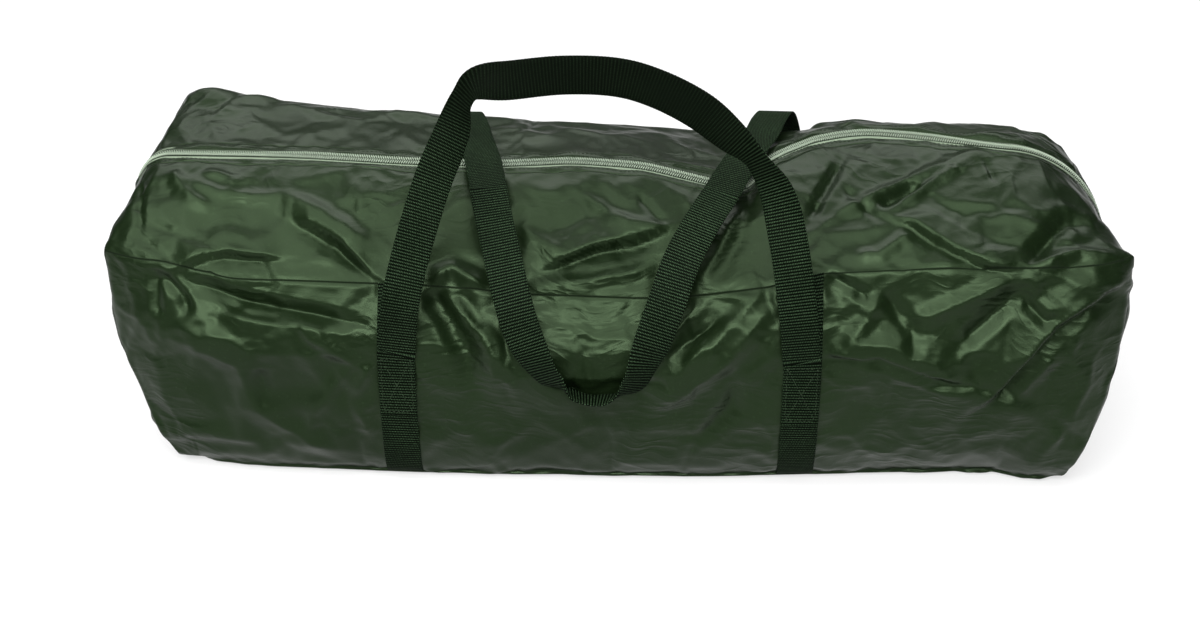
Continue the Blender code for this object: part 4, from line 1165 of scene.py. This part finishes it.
def webbingMaterial(name, length=0.0, shadedArchGain=1.0):
    # the last argument sets how bright the threads are away from the two ends of a band of this length; below
    # 1 this is painted shade on the free arch of a handle
    made, tree, shader = newMaterial(name, specular=0.02)
    weave = groupNode(tree, bandWeave, Pitch=webbing["ribPitch"], Dots=webbing["dotPitch"]).outputs
    where = objectPlace(tree)
    patches = noiseNode(tree, where, 30.0, 4.0)["Fac"]
    _, along, _ = bandMeasure(tree)
    nearest = mathNode(tree, "MINIMUM", along, minus(tree, length, along))
    # painted shade: the threads dim from their full tone near each end to the given level on the arch
    into = rangeNode(tree, nearest, *webbingFinish["archShadeStart"], 1.0, shadedArchGain, interpolation_type="SMOOTHSTEP")
    # the raised thread crests are lighter than the ground: partly the weave's own pattern, partly painted
    # highlight
    weaveSheenAndShade = times(tree, weave["Mask"], plus(tree, patches, 0.35), clamp=True)
    weaveSheenAndShade = times(tree, weaveSheenAndShade, into)
    tone = colourMix(tree, weaveSheenAndShade, webbingFinish["ground"], webbingFinish["thread"])
    rub = rangeNode(tree, noiseNode(tree, where, 700.0, 2.0)["Fac"], 0.62, 0.80, toHigh=0.25)
    tone = colourMix(tree, times(tree, rub, into), tone, webbingFinish["worn"])
    wired(tree, shader, tone, rangeNode(tree, patches, 0.0, 1.0, 0.5, 0.75),
          bumpNode(tree, weave["Height"], 0.00022, 0.8))
    return made


webbingLook = webbingMaterial("ribbedWebbing")


def oneBand(*parts):
    # the stations of several parts in one line
    line = []
    for part in parts:
        for middle, _, out in part:
            if not line or (middle - line[-1][0]).length > webbing["nearest"]:
                line.append((middle, out))
    stations = []
    middles = [middle for middle, _ in line]
    for k, (middle, out) in enumerate(line):
        tangent = stepAt(middles, k).normalized()
        across = tangent.cross(out).normalized()
        stations.append((middle, across, across.cross(tangent)))
    return stations


sewn = {}
for side, centre in (("left", leftStrap), ("right", rightStrap)):
    strap = "base_strap_" + side
    finished(webbingBand(strap + "_webbing", sewnStations(strap, centre)), webbingLook, "webbing", strap)
    sewn["front", side] = sewnStations("front_handle_end_" + side, centre)
    sewn["rear", side] = sewnStations("rear_handle_strand_" + side, centre,
                                      keep=lambda co: co.z < 0.1335 and co.y > 0.12)

# each handle is one length of webbing, sewn to the bag at both ends, with a free part between
free = bandStations(handleRoute, handleHinge, faceOfHandle, 160)
line = oneBand(sewn["front", "left"][::-1], free, sewn["front", "right"])
handle = webbingBand("front_handle_webbing", line)
# the front handle's own copy of the webbing, with painted shade on its free arch
handle.data.materials.append(webbingMaterial("ribbedWebbingShadedArch", length=alongStations(line, 0.01)[-1][0],
                                             shadedArchGain=0.14))
strands = [bandStations(strandRoutes[side], rearTopEdge, faceOfStrand, 60) for side in ("left", "right")]
hanging = bandStations(loopRoute, loopHinge, faceOfLoop, 140)
line = oneBand(sewn["rear", "left"], strands[0], hanging, strands[1][::-1], sewn["rear", "right"][::-1])
rearHandle = webbingBand("rear_handle_webbing", line)
rearHandle.data.materials.append(webbingLook)
for made, body, nodes, start, end in (
        (handle, "front_handle", ("front_handle", "front_handle_end_left", "front_handle_end_right"),
         handleHinge - Vector((0, 0, 0.005)), handleHinge + Vector((0, 0, 0.006))),
        (rearHandle, "rear_handle_loop",
         ("rear_handle_loop", "rear_handle_strand_left", "rear_handle_strand_right"),
         loopHinge + Vector((0, 0.008, 0)), loopHinge - Vector((0, 0.008, 0)))):
    tuple(start)
    tuple(end)
    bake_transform(made)
    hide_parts(*nodes)
    print("webbing", made.name, len(made.data.vertices), "vertices")

# ---- zip: woven tapes, coil teeth along the slot, metal slider ----
zipFinish = {
    "tape": (0.21, 0.26, 0.190, 1),
    "tapeDark": (0.13, 0.17, 0.115, 1),
    "coil": (0.250, 0.300, 0.235, 1),
    "shade": (0.010, 0.020, 0.008, 1),
    "metal": (0.50, 0.51, 0.52, 1),
    "toothPitch": 0.0019,
    "toothReach": 0.0042,     # from the middle of the chain to a tooth's outer end
    "toothShares": (0.47, 0.56),      # of that reach: to a tooth's middle, and its half length
    "toothWidth": 0.00060,
    "toothHeight": 0.00095,
    "lean": 24,
    "tilt": 20,               # the chain's own lean forward, on top of the bag
    "tiltEnds": (0.26, 0.30),
    "tiltLift": 0.0006,
    # the tapes' sections: away from the chain's middle, and up
    "tapeFront": ((0.0008, -0.0010), (0.0030, -0.0014), (0.0043, -0.0016), (0.0050, -0.0008),
                  (0.0062, -0.0002), (0.0078, -0.0003), (0.0105, -0.0010), (0.0140, -0.0012)),
    "tapeRear": ((0.0008, -0.0010), (0.0026, -0.0004), (0.0043, 0.0002), (0.0052, 0.0002),
                 (0.0066, -0.0004), (0.0085, -0.0010), (0.0105, -0.0012), (0.0140, -0.0013)),
    "tapeThick": 0.0005,
    "tapeStep": 0.004,
}


def clothMaterial(name, light, dark, threads, roughness, specular=0.2, weaveDepth=0.00018, chainHalf=0.0):
    # chainHalf is how far from its middle a zip's tape is in the shade of the chain
    made, tree, shader = newMaterial(name, specular=specular)
    weave = groupNode(tree, plainWeave, Threads=threads).outputs["Height"]
    cloudy = noiseNode(tree, objectPlace(tree), 34.0, 5.0)["Fac"]
    share = plus(tree, times(tree, weave, 0.55), times(tree, cloudy, 0.6), clamp=True)
    tone = colourMix(tree, share, dark, light)
    if chainHalf:
        aside = mathNode(tree, "ABSOLUTE", bandMeasure(tree)[2])
        shade = times(tree, minus(tree, chainHalf, aside), 2500.0, clamp=True)
        tone = colourMix(tree, shade, tone, zipFinish["shade"])
    wired(tree, shader, tone, rangeNode(tree, cloudy, 0.0, 1.0, roughness - 0.06, roughness + 0.06),
          bumpNode(tree, weave, weaveDepth, 0.7))
    return made


def hardMaterial(name, base, edge, roughness, metallic, scratches=260.0):
    made, tree, shader = newMaterial(name, metallic=metallic)
    where = objectPlace(tree)
    long = addNode(tree, "ShaderNodeMapping", {"Vector": where, "Scale": (0.25, 1.0, 1.0)})
    lines = noiseNode(tree, long.outputs[0], scratches, 4.0)["Fac"]
    spots = rangeNode(tree, noiseNode(tree, where, 90.0, 3.0)["Fac"], 0.4, 0.75)
    wired(tree, shader, colourMix(tree, spots, base, edge),
          rangeNode(tree, lines, 0.0, 1.0, roughness - 0.08, roughness + 0.12),
          bumpNode(tree, lines, 0.00003, 0.5))
    return made


tapeLook = clothMaterial("zipTape", zipFinish["tape"], zipFinish["tapeDark"], 1500.0, 0.72)
chainTapeLook = clothMaterial("zipTapeAtChain", zipFinish["tape"], zipFinish["tapeDark"], 1500.0, 0.72,
                              chainHalf=0.0050)
coilLook = clothMaterial("zipCoil", zipFinish["coil"], zipFinish["tape"], 2600.0, 0.38, specular=0.4,
                         weaveDepth=0.00002)
metalLook = hardMaterial("zipMetal", zipFinish["metal"], (0.34, 0.345, 0.35, 1), 0.30, 1.0)


def dress(nodeName, look):
    # a solid that keeps its shape gets its finish
    for slot in cad[nodeName].material_slots:
        slot.material = look


for nodeName in ("zip_end_tab_left", "zip_end_tab_right"):
    dress(nodeName, tapeLook)
dress("zip_slider", metalLook)
dress("zip_pull", metalLook)


def beadPlace(middle, arm, out, sizes):
    # a bead's placement, with its length along arm and its height along out
    turn = Matrix((arm, out.cross(arm), out)).transposed().to_4x4()
    return Matrix.Translation(middle) @ turn @ Matrix.Diagonal((*sizes, 1))


def manyBeads(name, shapes, around, rings):
    # a small bead for each placement, made in batches
    whole = bmesh.new()
    for k in range(0, len(shapes), 40):
        batch = bmesh.new()
        for shape in shapes[k:k + 40]:
            bmesh.ops.create_uvsphere(batch, u_segments=around, v_segments=rings, radius=1, matrix=shape)
        bmesh.ops.recalc_face_normals(batch, faces=batch.faces)
        part = bpy.data.meshes.new("beads")
        batch.to_mesh(part)
        batch.free()
        whole.from_mesh(part)
        bpy.data.meshes.remove(part)
    return smoothShaded(meshObject(name, whole))


def leaned(row):
    # a row of the chain with its lean forward, which goes where the zip turns down the bag's ends
    s, middle, across, out = row
    low, high = zipFinish["tiltEnds"]
    share = min(1, max(0, (high - abs(middle.x)) / (high - low)))
    tilt = Matrix.Rotation(math.radians(zipFinish["tilt"] * share) * math.copysign(1, across.cross(out).x), 3,
                           across.cross(out))
    return s, middle + out * zipFinish["tiltLift"] * share, tilt @ across, tilt @ out


def zipTape(side):
    # a woven tape from under the chain to under the hem, with a raised edge beside the teeth
    sign = 1 if side == "rear" else -1
    marks = zipFinish["tape" + side.title()]
    thick = zipFinish["tapeThick"]

    def section(row):
        top = [(sign * a, up) for a, up in marks]
        return top + [(a, up - thick) for a, up in reversed(top)]

    made = bentBand("zip_tape_" + side + "_cloth", alongStations(chain, zipFinish["tapeStep"]), section)
    finished(made, chainTapeLook, "zip_tape", "zip_tape_" + side)


zipTape("front")
zipTape("rear")


def coilTeeth(side):
    # one side's teeth: short bent loops of the coil, leaning along it
    shapes = []
    steps = [leaned(row) for row in alongStations(chain, zipFinish["toothPitch"])]
    sign = 1 if side == "rear" else -1
    reach, pitch = zipFinish["toothReach"], zipFinish["toothPitch"]
    toMiddle, halfLength = zipFinish["toothShares"]
    for _, middle, across, out in steps[1:-1]:
        tangent = across.cross(out)
        lean = Matrix.Rotation(math.radians(zipFinish["lean"]) * sign, 3, out)
        arm = lean @ across
        place = middle + across * sign * reach * toMiddle + tangent * (0.5 * pitch * (sign > 0))
        sizes = (reach * halfLength, zipFinish["toothWidth"], zipFinish["toothHeight"])
        shapes.append(beadPlace(place, arm, out, sizes))
    made = manyBeads("zip_coil_" + side + "_teeth", shapes, 7, 5)
    finished(made, coilLook, "zip_coil", "zip_coil_" + side)
    print("teeth", side, len(made.data.polygons))


coilTeeth("front")
coilTeeth("rear")

# ---- stitching ----
stitching = {
    "length": 0.0027,
    "gap": 0.0009,
    "thick": 0.00028,
    "inset": 0.003,               # from a box's stitches to the webbing's edge
    "hemRows": (0.0088, 0.0128),  # from the chain's middle
    "step": 0.0025,
    "boxStep": 0.002,
    "castFrom": 0.012,
    "sunk": 0.00012,              # a hem stitch's middle above the cloth
    "thread": (0.024, 0.042, 0.020, 1),
    "threadDark": (0.009, 0.018, 0.007, 1),
}
threadLook = clothMaterial("sewingThread", stitching["thread"], stitching["threadDark"], 5200.0, 0.55,
                           weaveDepth=0.00005)


def addStitch(shapes, start, end, out, thick):
    arm = end - start
    if arm.length < 1e-5:
        return
    length = arm.length
    arm.normalize()
    out = (out - arm * out.dot(arm)).normalized()
    shapes.append(beadPlace((start + end) / 2, arm, out, (length / 2, thick, thick * 0.8)))


def stitchLine(shapes, line, thick):
    # stitches along (place, out) marks
    done = 0.0
    lengths = runningLengths([place for place, _ in line])
    k = 0

    def at(s):
        nonlocal k
        while k < len(line) - 2 and s > lengths[k + 1]:
            k += 1
        u = (s - lengths[k]) / max(1e-9, lengths[k + 1] - lengths[k])
        return line[k][0].lerp(line[k + 1][0], u), line[k][1].lerp(line[k + 1][1], u)

    while done + stitching["length"] <= lengths[-1]:
        start, out = at(done)
        end, _ = at(done + stitching["length"])
        addStitch(shapes, start, end, out, thick)
        done += stitching["length"] + stitching["gap"]


corners, faces = [], []
for made in panels.values():
    faces += [[i + len(corners) for i in p.vertices] for p in made.data.polygons]
    corners += [v.co for v in made.data.vertices]
clothPanels = BVHTree.FromPolygons(corners, faces)
hemStitches = []
for sign in (-1, 1):
    for aside in stitching["hemRows"]:
        line = []
        for _, middle, across, out in alongStations(chain, stitching["step"])[4:-4]:
            start = middle + across * sign * aside + out * stitching["castFrom"]
            hit, normal, _, _ = clothPanels.ray_cast(start, -out, 2 * stitching["castFrom"])
            if hit:
                line.append((hit + normal * stitching["sunk"], normal))
        stitchLine(hemStitches, line, stitching["thick"])
hemThread = finished(manyBeads("hem_stitches", hemStitches, 6, 4), threadLook, "webbing")


def boxStitches(shapes, stations):
    # a sewn box with a cross, on webbing that lies on the bag
    half = webbing["width"] / 2 - stitching["inset"]
    spacing = stitching["boxStep"]
    skip = round(stitching["inset"] / spacing)
    steps = alongStations(stations, spacing)[skip:-skip]
    last = len(steps) - 1
    rise = webbing["thickness"] / 2 + webbing["ribHeight"] * 0.6

    def mark(n, wide):
        _, middle, across, out = steps[n]
        return middle + across * wide + out * rise, out

    sides = [[mark(n, w) for n in range(last + 1)] for w in (-half, half)]
    ends = [[mark(n, -half + 2 * half * k / 8) for k in range(9)] for n in (0, last)]
    cross = [[mark(n, (-half + 2 * half * n / last) * w) for n in range(last + 1)] for w in (-1, 1)]
    for line in sides + ends + cross:
        stitchLine(shapes, line, stitching["thick"] * 0.9)


boxes = []
for side in ("left", "right"):
    boxStitches(boxes, sewn["front", side])
    boxStitches(boxes, sewn["rear", side])
boxThread = finished(manyBeads("handle_box_stitches", boxes, 6, 4), threadLook, "webbing")
print("stitches", len(hemThread.data.polygons) + len(boxThread.data.polygons), "faces")

# ---- what is packed: two rolled cloths with their ties, poles in a sleeve, pegs in a pouch ----
packed = {
    "tent": ((0.20, 0.22, 0.15, 1), (0.13, 0.145, 0.095, 1)),
    "sack": ((0.10, 0.12, 0.09, 1), (0.06, 0.075, 0.052, 1)),
    "steel": ((0.55, 0.56, 0.57, 1), (0.38, 0.39, 0.41, 1)),
    "rubber": ((0.020, 0.020, 0.020, 1), (0.034, 0.034, 0.034, 1)),
    "turns": 7,
    "core": 0.009,
    "slack": 0.0016,
    "tieWidth": 0.020,
    "voxel": 0.004,
    "sackSlack": 0.0008,
    "tieIn": 0.0008,          # a tie's middle line, inside the roll's radius
}
tentLook = clothMaterial("tentCloth", *packed["tent"], 1800.0, 0.85)
sackLook = clothMaterial("sackCloth", *packed["sack"], 2200.0, 0.78)
steelLook = hardMaterial("galvanisedSteel", *packed["steel"], 0.38, 1.0)
rubberLook = hardMaterial("footRubber", *packed["rubber"], 0.78, 0.0, scratches=600.0)
for nodeName in cad:
    if nodeName.startswith(("pole_section", "pole_tip", "peg_0", "peg_1")):
        dress(nodeName, steelLook)
dress("pole_foot", rubberLook)


def roundRoll(node):
    # the middle line and outer radius of a roll along x
    low, high = (Vector(corner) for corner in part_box(node))
    return (low + high) / 2, (high.z - low.z) / 2, high.x - low.x


def rolledCloth(node):
    middle, radius, length = roundRoll(node)
    bm = bmesh.new()
    bmesh.ops.create_grid(bm, x_segments=70, y_segments=packed["turns"] * 30, size=1)
    for v in bm.verts:
        x, turn = v.co.x * (length / 2 - 0.001), (v.co.y + 1) / 2
        angle = 2 * math.pi * packed["turns"] * turn
        reach = packed["core"] + (radius - 0.0004 - packed["core"]) * turn
        reach -= packed["slack"] * (0.5 + 0.5 * noise.noise(Vector((x * 14, math.cos(angle) * 2, turn * 9))))
        v.co = middle + Vector((x, reach * math.cos(angle), reach * math.sin(angle)))
    made = finished(smoothShaded(meshObject(node + "_cloth", bm)), tentLook, "tent_cloth", node)


def tieRound(node):
    middle, radius, _ = roundRoll(node)
    outs = [Vector((0, math.cos(a), math.sin(a))) for a in (2 * math.pi * k / 72 for k in range(73))]
    ring = [(middle + out * (radius - packed["tieIn"]), Vector((1, 0, 0)), out) for out in outs]
    finished(webbingBand(node + "_band", ring, packed["tieWidth"]), webbingLook, "webbing", node)


def clothSack(node):
    # a soft cover drawn over the solid's outer form, slack between what it holds
    bm = merged(node)
    hull = bmesh.ops.convex_hull(bm, input=bm.verts)
    inner = [g for g in hull["geom_interior"] + hull["geom_unused"] if isinstance(g, bmesh.types.BMVert)]
    bmesh.ops.delete(bm, geom=inner, context="VERTS")
    made = meshObject(node + "_cloth", bm)
    net = made.modifiers.new("net", "REMESH")
    net.mode = "VOXEL"
    net.voxel_size = packed["voxel"]
    applied(made)
    outward = normals(made.data)
    found = places(made.data)
    for k, place in enumerate(found):
        p = Vector(place)
        dent = 0.5 + 0.5 * noise.noise(Vector((p.x * 40, p.y * 130, p.z * 130)))
        found[k] -= outward[k] * packed["sackSlack"] * dent
    setPlaces(made.data, found)
    made.data.materials.clear()
    finished(smoothShaded(made), sackLook, "bag_cloth", node)


for roll in ("outer_tent_roll", "groundsheet_roll"):
    rolledCloth(roll)
    tieRound(roll + "_tie_left")
    tieRound(roll + "_tie_right")
clothSack("pole_sleeve")
clothSack("peg_pouch")
print("contents ready")
